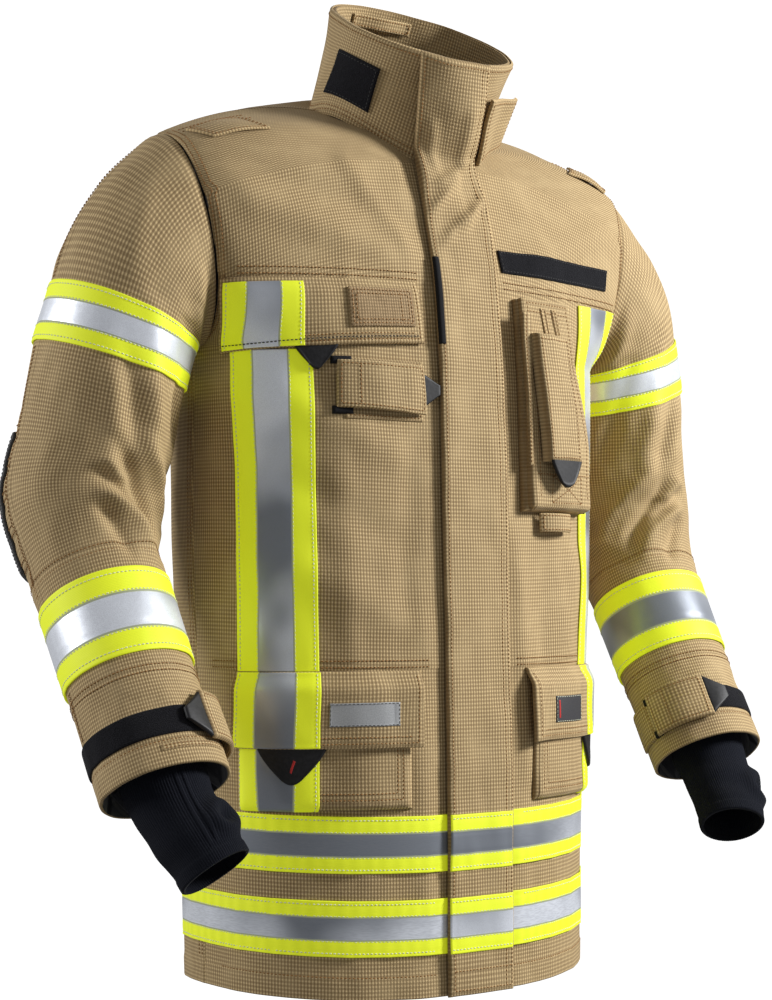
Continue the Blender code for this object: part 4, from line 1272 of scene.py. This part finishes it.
def make_chest_flap():
    flap = Patch(BODY, [(-0.243, -0.2435), (-0.0485, -0.2315), (-0.0535, -0.1735), (-0.248, -0.1790)],
                 hung(0.0030), CLOTH, ripple(0.0008, 0.03, 0.03, 4), 0.0018, hem=0.0045)
    flap.make("chest_flap_cover", "shell", "chest_flap", ["chest_flap"], shift=(0.3, 0.1))
    flap.sew_round("chest_flap", 0.0045, "n")
    flap.sew_round("chest_flap", 0.0100, "nwe")
    w, h = flap.width, flap.height
    scale = w / 0.197
    tab = Patch(flap, rect(0.122 * scale, 0.016, 0.187 * scale, h - 0.0095), -0.0002, 0.0028,
                ripple(0.0003, 0.004, 0.004), 0.0010, 0.0022, hem=0.003)
    # The tab is shell fabric; its darker colour is painted shade.
    tab.make("chest_flap_tab", "shell_painted_shade", "chest_flap", shift=(0.11, 0.07))
    tab.sew_round("chest_flap", 0.003)
    tab.sew_round("chest_flap", 0.0062)
    sew("chest_flap", tab, [(tab.width - 0.014, 0.004), (tab.width - 0.014, tab.height - 0.004)])
    trim = [(0.0035 * scale, 0.0012), (0.0795 * scale, 0.0012), (0.0800 * scale, h - 0.0040),
            (0.0040 * scale, h - 0.0040)]
    tape("chest_flap_tape", flap, trim, -0.0002, WIDE_TAPE, "chest_flap", ["chest_flap_trim"], turned=True)
    sew("chest_flap", flap, [(0.004, 0.0070), (w / 2, 0.0070), (w - 0.006, 0.0070)], "thread_dark",
        lift=0.0014)
    rubber_pull("chest_pull", -0.176, -0.134, -0.2345, 0.0250, 0.0030, "chest_flap", ["chest_flap_pull"],
                mark=False)


def make_mic_strap():
    backing = Patch(BODY, rect(-0.130, -0.303, -0.051, -0.248), 0.0003, 0.0014, None, 0.0010, hem=0.003)
    backing.make("mic_strap_backing", "shell", "coat", shift=(0.2, 0.3))
    backing.sew_round("coat", 0.003)
    strap = Patch(BODY, [(-0.1385, -0.294), (-0.0505, -0.297), (-0.0525, -0.2525), (-0.1365, -0.2500)],
                  lambda x, y: 0.0030 + 0.0060 * np.sin(np.pi * np.clip(x / 0.092, 0, 1)) ** 0.7, CLOTH,
                  ripple(0.0010, 0.02, 0.02, 0, 7), 0.0016, hem=0.0035)
    strap.make("mic_strap_band", "shell", "mic_strap", ["mic_strap"], shift=(0.4, 0.2))
    strap.sew_round("mic_strap", 0.0035)
    sew("mic_strap", strap, [(0.020, 0.004), (0.020, strap.height - 0.004)])
    for k, z in enumerate((-0.2500, -0.2955)):
        fold = Patch(BODY, rect(-0.1420, z - 0.0036, -0.1230, z + 0.0036), 0.0006, 0.0040, None, 0.0022,
                     0.0014)
        fold.make(f"mic_strap_anchor_{k + 1}", "tape", "coat")
    tongue = Patch(BODY, [(-0.0545, -0.292), (-0.0350, -0.2780), (-0.0350, -0.2700), (-0.0545, -0.258)],
                   0.0048, 0.0024, None, 0.0014, 0.0015)
    tongue.make("mic_strap_tongue", "rubber", "mic_strap", ["mic_strap_pull"])


def make_name_strip():
    strip = Patch(BODY, [(0.050, -0.156), (0.209, -0.158), (0.213, -0.136), (0.048, -0.134)], 0.0006,
                  0.0018, pile_shape, 0.0010, 0.0022)
    strip.make("name_strip_pile", "loop", "coat", ["name_loop_strip"])
    strip.sew_round("coat", 0.0022, colour="thread_dark")


# ------------------------------------------------------------------ pockets

class Tray:
    """A bellows pocket: soft walls from the shell out to a front face, open at the top.
    flatten is a share of the depth by s; narrow and shallow take from its top; pleat folds its walls."""

    def __init__(self, s0, z0, s1, z1, depth, corner, flatten=None, pleat=0.0, narrow=0.0, shallow=0.0):
        width, height = s1 - s0, z1 - z0
        self.width, self.height = width, height
        bend = np.linspace(0, corner / width, 22)
        i = np.unique(np.concatenate([np.linspace(0, 1, int(width / 0.0030)), bend, 1 - bend]))
        j = np.unique(np.concatenate([np.linspace(0, 1, int(height / 0.0030)),
                                      np.linspace(0, corner / height, 12)]))
        share, up = np.meshgrid(i, j, indexing="ij")
        x, y = share * width, up * height
        foot = edge_rise(y, corner)
        out = edge_rise(np.minimum(x, width - x), corner) * foot
        full = (depth - 0.0006) * (1 - shallow * ease(0.25, 1.05, up))
        lift = 0.0006 + full * out * (flatten(s0 + x) if flatten else 1)
        lift = lift + 0.0010 * noise(x / 0.028, y / 0.034 + 5) * out
        way = np.where(share < 0.5, 1, -1)
        s = x + way * (0.10 * corner * (out - 1) + pleat * foot * np.exp(-((out - 0.52) / 0.16) ** 2))
        s = s0 + s * (1 - narrow * ease(0.20, 1.10, up))
        base = BODY.at(s, z0 + y, 0.0)[0]
        top = base + grid_normals(base) * lift[..., None]
        n = grid_normals(top)
        self.grids = top, top - n * 0.0017, np.stack([x, y], -1)
        self.face = Laid(i * width, j * height, top, n)

    def at(self, x, y, lift):
        return self.face.at(x, y, lift)

    def make(self, name, node):
        sheet_piece(name, self.grids, ["shell"], "coat", [node])


def make_radio():
    pocket = Tray(0.060, -0.383, 0.157, -0.181, RADIO_DEPTH, 0.0075, pleat=0.0040, narrow=0.27,
                  shallow=0.35)
    pocket.make("radio_pocket_body", "radio_pocket")
    w, h = pocket.width, pocket.height
    for x in (0.0125, w - 0.0125):
        sew("coat", pocket, [(x, 0.014), (x, h - 0.003)])
    for up in (0.004, 0.012):
        sew("coat", pocket, [(0.010, h - up), (w - 0.010, h - up)])
    sew("coat", pocket, [(0.008, 0.0360), (w - 0.008, 0.0360)])
    box = rect(0.030, 0.0090, w - 0.024, 0.0345)
    for path in (box + box[:1], box[::2], box[1::2]):
        sew("coat", pocket, path)
    for k, x in enumerate((0.034, 0.054)):
        slot = Patch(pocket, [(x + 0.005, h - 0.048), (x + 0.014, h - 0.048), (x + 0.009, h - 0.008),
                      (x, h - 0.008)],
                     -0.0003, 0.0016, lambda x, y: -0.0012 * np.exp(-((x - 0.0042) / 0.0016) ** 2), 0.0009,
                     0.0009)
        slot.make(f"radio_slot_{k + 1}", "shell", "coat", shift=(0.05 * k, 0.2))
        slot.sew_round("coat", 0.0012, width=FINE_THREAD)
    flap = Patch(BODY, [(0.0745, -0.336), (0.1180, -0.336), (0.1080, -0.2155), (0.0660, -0.2155)],
                 lambda x, y: RADIO_DEPTH + 0.0012 - 0.0035 * ease(0.02, 0.125, y), RADIO_FLAP_THICK,
                 ripple(0.0008, 0.02, 0.03), 0.0022, hem=0.0038)
    flap.make("radio_flap_cover", "shell", "radio_flap", ["radio_flap"], shift=(0.2, 0.05))
    flap.sew_round("radio_flap", 0.0038, "n")
    sew("radio_flap", flap, [(0.003, flap.height - 0.006), (flap.width - 0.003, flap.height - 0.006)])
    rubber_pull("radio_pull", 0.0765, 0.1165, -0.3345, 0.0255, RADIO_DEPTH + RADIO_FLAP_THICK - 0.0015,
                "radio_flap", ["radio_flap_pull"], mark=False, tip=0.42)
    fold = Patch(BODY, [(0.0600, -0.3400), (0.0640, -0.3400), (0.0690, -0.1960), (0.0570, -0.1960)],
                 lambda x, y: RADIO_DEPTH - 0.0035 + 0.0015 * ease(0.02, 0.12, y), CLOTH,
                 ripple(0.0010, 0.02, 0.03), 0.0016, hem=0.0030)
    fold.make("radio_fold_edge", "shell", "coat", shift=(0.15, 0.3))
    sew("coat", fold, [(0.0020, 0.002), (0.0022, fold.height - 0.002)])
    strap = Patch(BODY, rect(0.082, -0.4015, 0.128, -0.3835),
                  lambda x, y: 0.0030 + 0.0080 * np.sin(np.pi * np.clip(x / 0.046, 0.02, 0.98)) ** 0.5,
                  0.0026, None, 0.0012, hem=0.0025)
    strap.make("radio_strap_loop", "shell", "coat", ["radio_strap"], shift=(0.1, 0.1))
    strap.sew_round("coat", 0.0025)


def flatter(s):
    """The lower pockets and their flaps lie flatter towards the side of the coat."""
    return 0.62 - 0.27 * ease(0.140, 0.232, np.abs(s))


def make_lower(side, way):
    where, foot = f"lower_flap_{side}", -0.652

    def hang(x, y):
        return hung(LOWER_FLAP_LIFT - 0.0005, 0.018)(x, y) * flatter(0.0615 + x if way > 0 else 0.235 - x)

    low, high = sorted((0.070 * way, 0.226 * way))
    pocket = Tray(low, foot, high, -0.540, LOWER_POCKET_DEPTH, 0.008, flatter)
    pocket.make(f"lower_pocket_body_{side}", f"lower_pocket_{side}")
    w, h = pocket.width, pocket.height
    for inset in (0.0095, 0.0150):
        sew("coat", pocket, [(inset, h * 0.55), (inset, inset), (w - inset, inset), (w - inset, h * 0.55)])
    flap = Patch(BODY,
                 mirrored([(0.0615, -0.597), (0.235, -0.597), (0.233, -0.5285), (0.0600, -0.5285)], way),
                 hang, CLOTH, ripple(0.0010, 0.035, 0.03, 3 * way), 0.0018, hem=0.0045)
    flap.make(f"lower_flap_cover_{side}", "shell", where, [where], shift=(0.3 * way, 0.4))
    flap.sew_round(where, 0.0045, "n")
    flap.sew_round(where, 0.0100, "nwe")
    h, w = flap.height, flap.width
    inner, outer = 0.093 * w / 0.1735, 0.168 * w / 0.1735
    x0, x1 = (inner, outer) if way > 0 else (w - outer, w - inner)
    tape(f"lower_flap_tape_{side}", flap, rect(x0, 0.0010, x1, h - 0.0008), -0.0002, WIDE_TAPE, where,
         turned=True)
    tape(f"pocket_tape_{side}", PocketFront(pocket, low, foot),
         mirrored(rect(0.1545, foot - 0.0005, 0.2290, -0.560), way),
         0.0002, WIDE_TAPE, "coat", turned=True)
    rubber_pull(f"lower_pull_{side}", *sorted((0.147 * way, 0.207 * way)), -0.5945, 0.034,
                lambda s: flatter(s) * (LOWER_FLAP_LIFT - 0.0008), where, [f"lower_flap_pull_{side}"],
                mark=way < 0)
    if way < 0:
        label = Patch(flap, rect(w - 0.082, 0.020, w - 0.022, 0.041), -0.0002, 0.0012, sunk_plate, 0.0006,
                      0.0012)
        label.make("label_right", "label", where)
        label.sew_round(where, 0.0010, colour="thread_dark", width=FINE_THREAD)
        return
    label = Patch(flap, rect(0.030, 0.016, 0.073, 0.041), -0.0002, 0.0012, None, 0.0006, 0.0012)
    label.make("label_left", "label_dark", where)
    label.sew_round(where, 0.0010, colour="thread_light", width=FINE_THREAD)
    bar = Patch(label, rect(0.004, 0.004, 0.0065, 0.021), -0.0002, 0.0005, None, 0.0003, 0.001)
    bar.make("label_left_bar", "red", where)


def sunk_plate(x, y):
    """The right label's plate lies a little lower than its frame."""
    return -0.0003 * (np.minimum(np.minimum(x, 0.06 - x), np.minimum(y, 0.021 - y)) > 0.0014)


class PocketFront:
    """Places points by (s, z) on the outside of a lower pocket, and on the shell beside it."""

    def __init__(self, pocket, s0, z0):
        self.pocket, self.s0, self.z0 = pocket, s0, z0

    def at(self, s, z, lift):
        s, z = pair(s, z)
        x, y = s - self.s0, z - self.z0
        return self.pocket.at(np.clip(x, 0, self.pocket.width), np.clip(y, 0, self.pocket.height), lift)


def make_stripes():
    """The right stripe ends under the chest flap, the left one runs up beside the name strip."""
    for (side, way), top in zip(HANDS, (-0.241, -0.177)):
        corners = mirrored([(0.154, -0.5285), (0.229, -0.5285), (0.234, top), (0.158, top)], way)
        tape(f"stripe_{side}", BODY, corners, 0.0012, WIDE_TAPE, "coat", [f"front_stripe_{side}"],
             turned=True)


def make_shoulder_loops():
    for side, way in HANDS:
        loop = Patch(ROWS, mirrored(rect(0.114, 0.947, 0.170, 0.972), way),
                     lambda x, y: 0.0008 + 0.0018 * np.sin(np.pi * np.clip((x - 0.006) / 0.044, 0, 1)),
                     0.0024, None, 0.0010, 0.003)
        loop.make(f"shoulder_loop_strap_{side}", "shell", "coat", [f"shoulder_loop_{side}"],
                  shift=(0.1, 0.05))
        loop.sew_round("coat", 0.0020)
        for x in (0.005, loop.width - 0.005):
            sew("coat", loop, [(x, 0.001), (x, loop.height - 0.001)])


# ------------------------------------------------------------------ sleeves

ARM_SHARES = np.linspace(0, 1, 200)
ARM_LENGTH = lengths(tube_frame(SLEEVE, ARM_SHARES)[0])


def along_arm(t):
    return np.interp(t, ARM_SHARES, ARM_LENGTH)


SLEEVE_COLUMNS = 170


def tube_grid(surface, t, columns, low, high, girth=0.43):
    """Outer grid, inner grid and UV of a tube; low and high are lifts, as numbers or functions."""
    turn = 2 * math.pi * np.arange(columns) / columns * (-1 if surface.left else 1)
    grid_turn, grid_t = np.meshgrid(turn, t[::-1], indexing="ij")
    base = surface.at(grid_turn, grid_t, 0.0)[0]
    n = grid_normals(base, True)
    outer, inner = (base + n * (lift(grid_turn, grid_t) if callable(lift) else lift + 0 * grid_t)[..., None]
                    for lift in (high, low))
    u = np.linspace(0, girth, columns + 1)
    return outer, inner, stack(u[:, None], -along_arm(t[::-1])[None, :])


class ArmSurface:
    """Places points by (turn, -t) on a sleeve, so that a patch faces out on either arm."""

    def __init__(self, arm):
        self.arm = arm

    def at(self, a, b, lift):
        return self.arm.at(-a if self.arm.left else a, -b, lift)


def sew_ring(where, arm, t, **more):
    sew(where, arm, [(turn, t) for turn in np.linspace(0, 2 * math.pi, 25)], **more)


def make_sleeve(side, way):
    arm = TubeSurface(SLEEVE, way > 0)
    shoulder, elbow, forearm = f"shoulder_{side}", f"elbow_{side}", f"forearm_{side}"

    def cap(turn, t):
        return -0.0012 + 0.0016 * ease(0.0, 0.012, t) + 0.0010 * np.exp(-((t - 0.02) / 0.02) ** 2)

    def cuff(turn, t):
        roll = 0.0011 * ease(0.965, 0.970, t) - 0.0014 * ease(0.9965, 1.0, t) ** 2
        return roll + 0.0009 * (ease(0.7235, 0.726, t) - ease(0.726, 0.76, t))

    rows = np.concatenate([[0.001, 0.004], np.linspace(0.01, 0.335, 70)])
    piece = sheet_piece(f"sleeve_cloth_upper_{side}", tube_grid(arm, rows, 150, -0.0018, cap), ["shell"],
                        shoulder, [f"sleeve_upper_{side}"], True)
    rows = np.concatenate([np.linspace(0.300, 0.985, 175), np.linspace(0.987, 0.9993, 8)])
    piece = sheet_piece(f"sleeve_cloth_lower_{side}", tube_grid(arm, rows, SLEEVE_COLUMNS, -0.0018, cuff),
                        ["shell", "lining"], elbow, [f"elbow_section_{side}", f"sleeve_lower_{side}"], True)

    for name, where in (("upper", f"upper_arm_{side}"), ("lower", forearm)):
        sleeve_band(f"sleeve_tape_{name}_{side}", arm, *SLEEVE_BANDS[name], where,
                    f"sleeve_band_{name}_{side}")
    for turn in (-0.115, -0.185):
        for where, t0, t1, count, lift in ((elbow, 0.385, 0.740, 16, 0.0004),
                                           (shoulder, 0.012, 0.258, 12, 0.0010),
                                           (forearm, 0.855, 0.920, 6, 0.0004)):
            sew(where, arm, [(turn, t) for t in np.linspace(t0, t1, count)], lift=lift)
    for k in range(5):
        for more in (0.0075, 0.0165):
            t = 0.5 + PLEAT_PITCH * k + more
            sew(elbow, arm, [(-0.20, t), (-0.32, t), (-0.45, t)], lift=0.0004)
    for where, t, lift in ((elbow, 0.7205, 0.0006), (elbow, 0.7290, 0.0006), (forearm, 0.9675, 0.0006),
                           (forearm, 0.868, 0.0004), (forearm, 0.876, 0.0004)):
        sew_ring(where, arm, t, lift=lift)
    for turn in (-0.115, -0.185):
        sew(elbow, arm, [(turn, t) for t in np.linspace(0.70, 0.740, 4)], lift=0.0006)
    make_cuff(side, way, arm)
    make_wristlet(side, way > 0)


def sleeve_band(name, arm, t0, t1, where, node):
    """A ring of narrow tape between two shares of the arm."""
    scale = NARROW_TAPE / (along_arm(t1) - along_arm(t0))

    def band(turn, t):
        y = (along_arm(t) - along_arm(t0)) * scale
        gap = np.minimum(y, NARROW_TAPE - y)
        return 0.0014 + 0.0009 * edge_rise(gap, 0.0007) + tape_shape(NARROW_TAPE, y)

    rows = blend(t0, t1, steps(NARROW_TAPE, 0.0022))
    top, bottom, uv = tube_grid(arm, rows, SLEEVE_COLUMNS, 0.0012, band)
    uv = stack(uv[..., 0], np.interp(rows[::-1], [t0, t1], [0.0, NARROW_TAPE])[None, :])
    sheet_piece(name, (top, bottom, uv), ["trim50"], where, [node], True)
    for share in (0.07, 0.275, 0.725, 0.93):
        sew_ring(where, arm, blend(t0, t1, share), colour="thread_light", lift=0.0022)


def make_cuff(side, way, arm):
    """What is laid on the lower sleeve: elbow cover, loop pile, strap with its pull, anchors and keeper."""
    forearm, swing, facing = f"forearm_{side}", f"cuff_strap_{side}", ArmSurface(arm)

    def strip(name, look, t0, t1, a0, a1, lift, thickness, where, nodes=(), shift=(0.2, 0.3), **more):
        made = Patch(facing, mirrored(rect(a0, -t1, a1, -t0), -way), lift, thickness, **more)
        return made, made.make(f"{name}_{side}", look, where, nodes, shift=shift)

    low, high = 0.925, 0.960
    grids = tube_grid(arm, blend(low, high, steps(0.020, 0.002)), SLEEVE_COLUMNS, 0.0002,
                      lambda turn, t: 0.0005 + 0.0017 * edge_rise(np.minimum(t - low, high - t), 0.002))
    sheet_piece(f"cuff_loop_pile_{side}", grids, ["loop"], forearm, [f"cuff_loop_strip_{side}"], True)

    pad, piece = strip("elbow_cover", "pad", 0.515, 0.695, -2.30, -0.45, 0.0006, CLOTH, f"elbow_{side}",
                       [f"elbow_pad_{side}"], hem=0.004, radius=0.0022)
    pad.sew_round(f"elbow_{side}", 0.004, colour="thread_dark")

    strap, _ = strip("cuff_tab", "shell", 0.908, 0.973, 2.00, 3.04,
                     lambda x, y: 0.0056 + 0.0014 * np.sin(np.pi * np.clip(x / 0.055, 0, 1)), 0.0036,
                     swing, [swing], hem=0.0038, radius=0.0016)
    strap.sew_round(swing, 0.0038)
    x = strap.width - 0.018 if way < 0 else 0.018
    sew(swing, strap, [(x, 0.004), (x, strap.height - 0.004)])
    corners = [(1.66, -0.947), (2.02, -0.9725), (2.02, -0.9085), (1.66, -0.933)]
    pull = Patch(facing, mirrored(corners, -way), 0.0052, 0.0030, None, 0.0016, 0.0012)
    pull.make(f"cuff_pull_{side}", "rubber", swing, [f"cuff_strap_pull_{side}"])
    for place, t in (("top", 0.915), ("bottom", 0.966)):
        strip(f"cuff_anchor_{place}", "tape", t - 0.0055, t + 0.0055, 3.00, 3.16, 0.0012, 0.0044, forearm,
              shift=(0, 0), radius=0.0022, pitch=0.0014)
    keeper, _ = strip("cuff_keeper", "shell", 0.914, 0.971, 3.10, 3.80, 0.0016, 0.0022, forearm,
                      hem=0.0038, radius=0.0014)
    keeper.sew_round(forearm, 0.0038)
    if way < 0:
        edge, _ = strip("cuff_edge", "shell", 0.972, 0.981, 1.20, 2.30, 0.0006, 0.0018, forearm,
                        hem=0.0020, radius=0.0012)
        edge.sew_round(forearm, 0.0020, width=0.0004)


def make_wristlet(side, left):
    tube = TubeSurface(WRIST, left, folded=False)
    ribs, hole = 96, 0.62 if left else 1.42

    def outside(turn, t):
        quarter = np.mod(turn / (math.pi / 2), 4)
        rib = 0.00022 * np.cos(ribs * turn)
        crease = 0.0018 * noise(quarter * 1.5 + 3, t * 7 + (4 if left else 0), 6) * ease(0.0, 0.2, t)
        hem = 0.0008 * ease(0.905, 0.915, t) - 0.0012 * ease(0.99, 1.0, t) ** 2
        thumb = np.hypot((quarter - hole) / 0.34, (t - 0.70) / 0.15)
        lip = 0.0062 * np.exp(-((thumb - 0.75) / 0.42) ** 2) - 0.0035 * np.exp(-(thumb / 0.45) ** 2)
        ends = ease(0.0, 0.1, t) * ease(0.0, 0.1, 0.90 - t)
        seam = sum(np.exp(-((quarter - hole + gap) / 0.028) ** 2) for gap in (0.40, 0.52))
        return rib + crease + hem + lip + 0.0010 * seam * ends

    def inside(turn, t):
        return outside(turn, t) - 0.0022

    t = np.concatenate([np.linspace(0, 0.985, 95), [0.99, 0.995, 1.0]])
    top, bottom, uv = tube_grid(tube, t, ribs * 5, inside, outside, girth=0.24)
    uv[..., 1] = -WRISTLET_LENGTH * t[::-1][None, :]
    piece = sheet_piece(f"wristlet_rib_{side}", (top, bottom, uv), ["knit"], f"forearm_{side}",
                        [f"wristlet_{side}"], True)


# ------------------------------------------------------------------ build

make_panels()
body_seams()
make_lining()
FLAP = FlapSurface(make_storm_flap())
make_hem_bands(FLAP)
BINDING = Patch(FLAP, rect(FLAP_RIGHT, -0.231, FLAP_RIGHT + 0.0058, -0.148), -0.0012, 0.0026, None, 0.0012,
                0.0015)
BINDING.make("storm_flap_binding", "tape", "flap_bend", ["storm_flap_pull"])
make_zip()
make_collar()
make_chest_flap()
make_mic_strap()
make_name_strip()
make_radio()
for hand in HANDS:
    make_lower(*hand)
make_stripes()
make_shoulder_loops()
for hand in HANDS:
    make_sleeve(*hand)
make_threads()


# ------------------------------------------------------------------ room, lights and camera

AIM = np.array([0.0, -0.015, -0.560])
AWAY, RIGHT = np.array([0.574, 0.819, 0.0]), np.array([0.819, -0.574, 0.0])
CAMERA_DISTANCE, LENS, FRAME_MM = 2.0, 73.8, 36
CAMERA_PITCH, CAMERA_YAW = 92.51, -35
FLOOR_Z = -1.62


def studio_surface(name, value, glow):
    """One pale round surface: a flat floor that rises into a wall far from the object."""
    profile = [(0.0, 0.0), (2.5, 0.0), (4.5, 0.0)]
    profile += [(4.5 + 1.5 * math.sin(a), 1.5 - 1.5 * math.cos(a)) for a in np.linspace(0.2, math.pi / 2,
                                                                                        8)]
    profile += [(6.0, 4.0)]
    sides = 48
    verts, faces = [], []
    for radius, height in profile:
        for k in range(sides):
            turn = 2 * math.pi * k / sides
            verts.append((radius * math.cos(turn), radius * math.sin(turn), FLOOR_Z + height))
    for row in range(len(profile) - 1):
        for k in range(sides):
            a, b = row * sides + k, row * sides + (k + 1) % sides
            faces.append((a, b, b + sides, a + sides))
    mesh = bpy.data.meshes.new(name)
    mesh.from_pydata(verts, [], faces)
    look = bpy.data.materials.new(name)
    look.use_nodes = True
    shader = look.node_tree.nodes["Principled BSDF"]
    shader.inputs["Base Color"].default_value = (value, value, value, 1)
    shader.inputs["Emission Color"].default_value = (1, 1, 1, 1)
    shader.inputs["Emission Strength"].default_value = glow
    shader.inputs["Roughness"].default_value = 0.9
    mesh.materials.append(look)
    mesh.polygons.foreach_set("use_smooth", [True] * len(faces))
    made = bpy.data.objects.new(name, mesh)
    bpy.context.scene.collection.objects.link(made)
    made.visible_diffuse = made.visible_glossy = False


def area_light(name, right, nearer, up, aim, size, power):
    """A round lamp, placed to the right of, nearer than and above the camera's aim."""
    place = AIM + RIGHT * right - AWAY * nearer + np.array([0, 0, up])
    data = bpy.data.lights.new(name, "AREA")
    data.shape, data.size, data.energy = "DISK", size, power
    made = bpy.data.objects.new(name, data)
    made.location = place
    made.rotation_euler = (Vector(aim) - Vector(place)).to_track_quat("-Z", "Y").to_euler()
    bpy.context.scene.collection.objects.link(made)


def make_studio():
    scene = bpy.context.scene
    scene.view_settings.view_transform = "Standard"
    scene.view_settings.look = "None"
    world_look = bpy.data.worlds.new("studio")
    world_look.use_nodes = True
    background = world_look.node_tree.nodes["Background"]
    background.inputs[0].default_value = (1, 1, 1, 1)
    background.inputs[1].default_value = 0.30
    scene.world = world_look
    studio_surface("floor", 0.80, 0.80)
    area_light("key", 2.05, 0.30, 0.95, AIM + np.array([0, 0, 0.12]), 0.6, 72)
    area_light("fill", -2.1, 0.45, 0.7, AIM, 0.8, 24)
    data = bpy.data.cameras.new("camera")
    data.sensor_fit, data.sensor_height, data.sensor_width = "VERTICAL", FRAME_MM, FRAME_MM
    data.lens = LENS
    camera = bpy.data.objects.new("camera", data)
    camera.location = AIM - AWAY * CAMERA_DISTANCE
    camera.rotation_euler = (math.radians(CAMERA_PITCH), 0, math.radians(CAMERA_YAW))
    scene.collection.objects.link(camera)
    scene.camera = camera


make_studio()
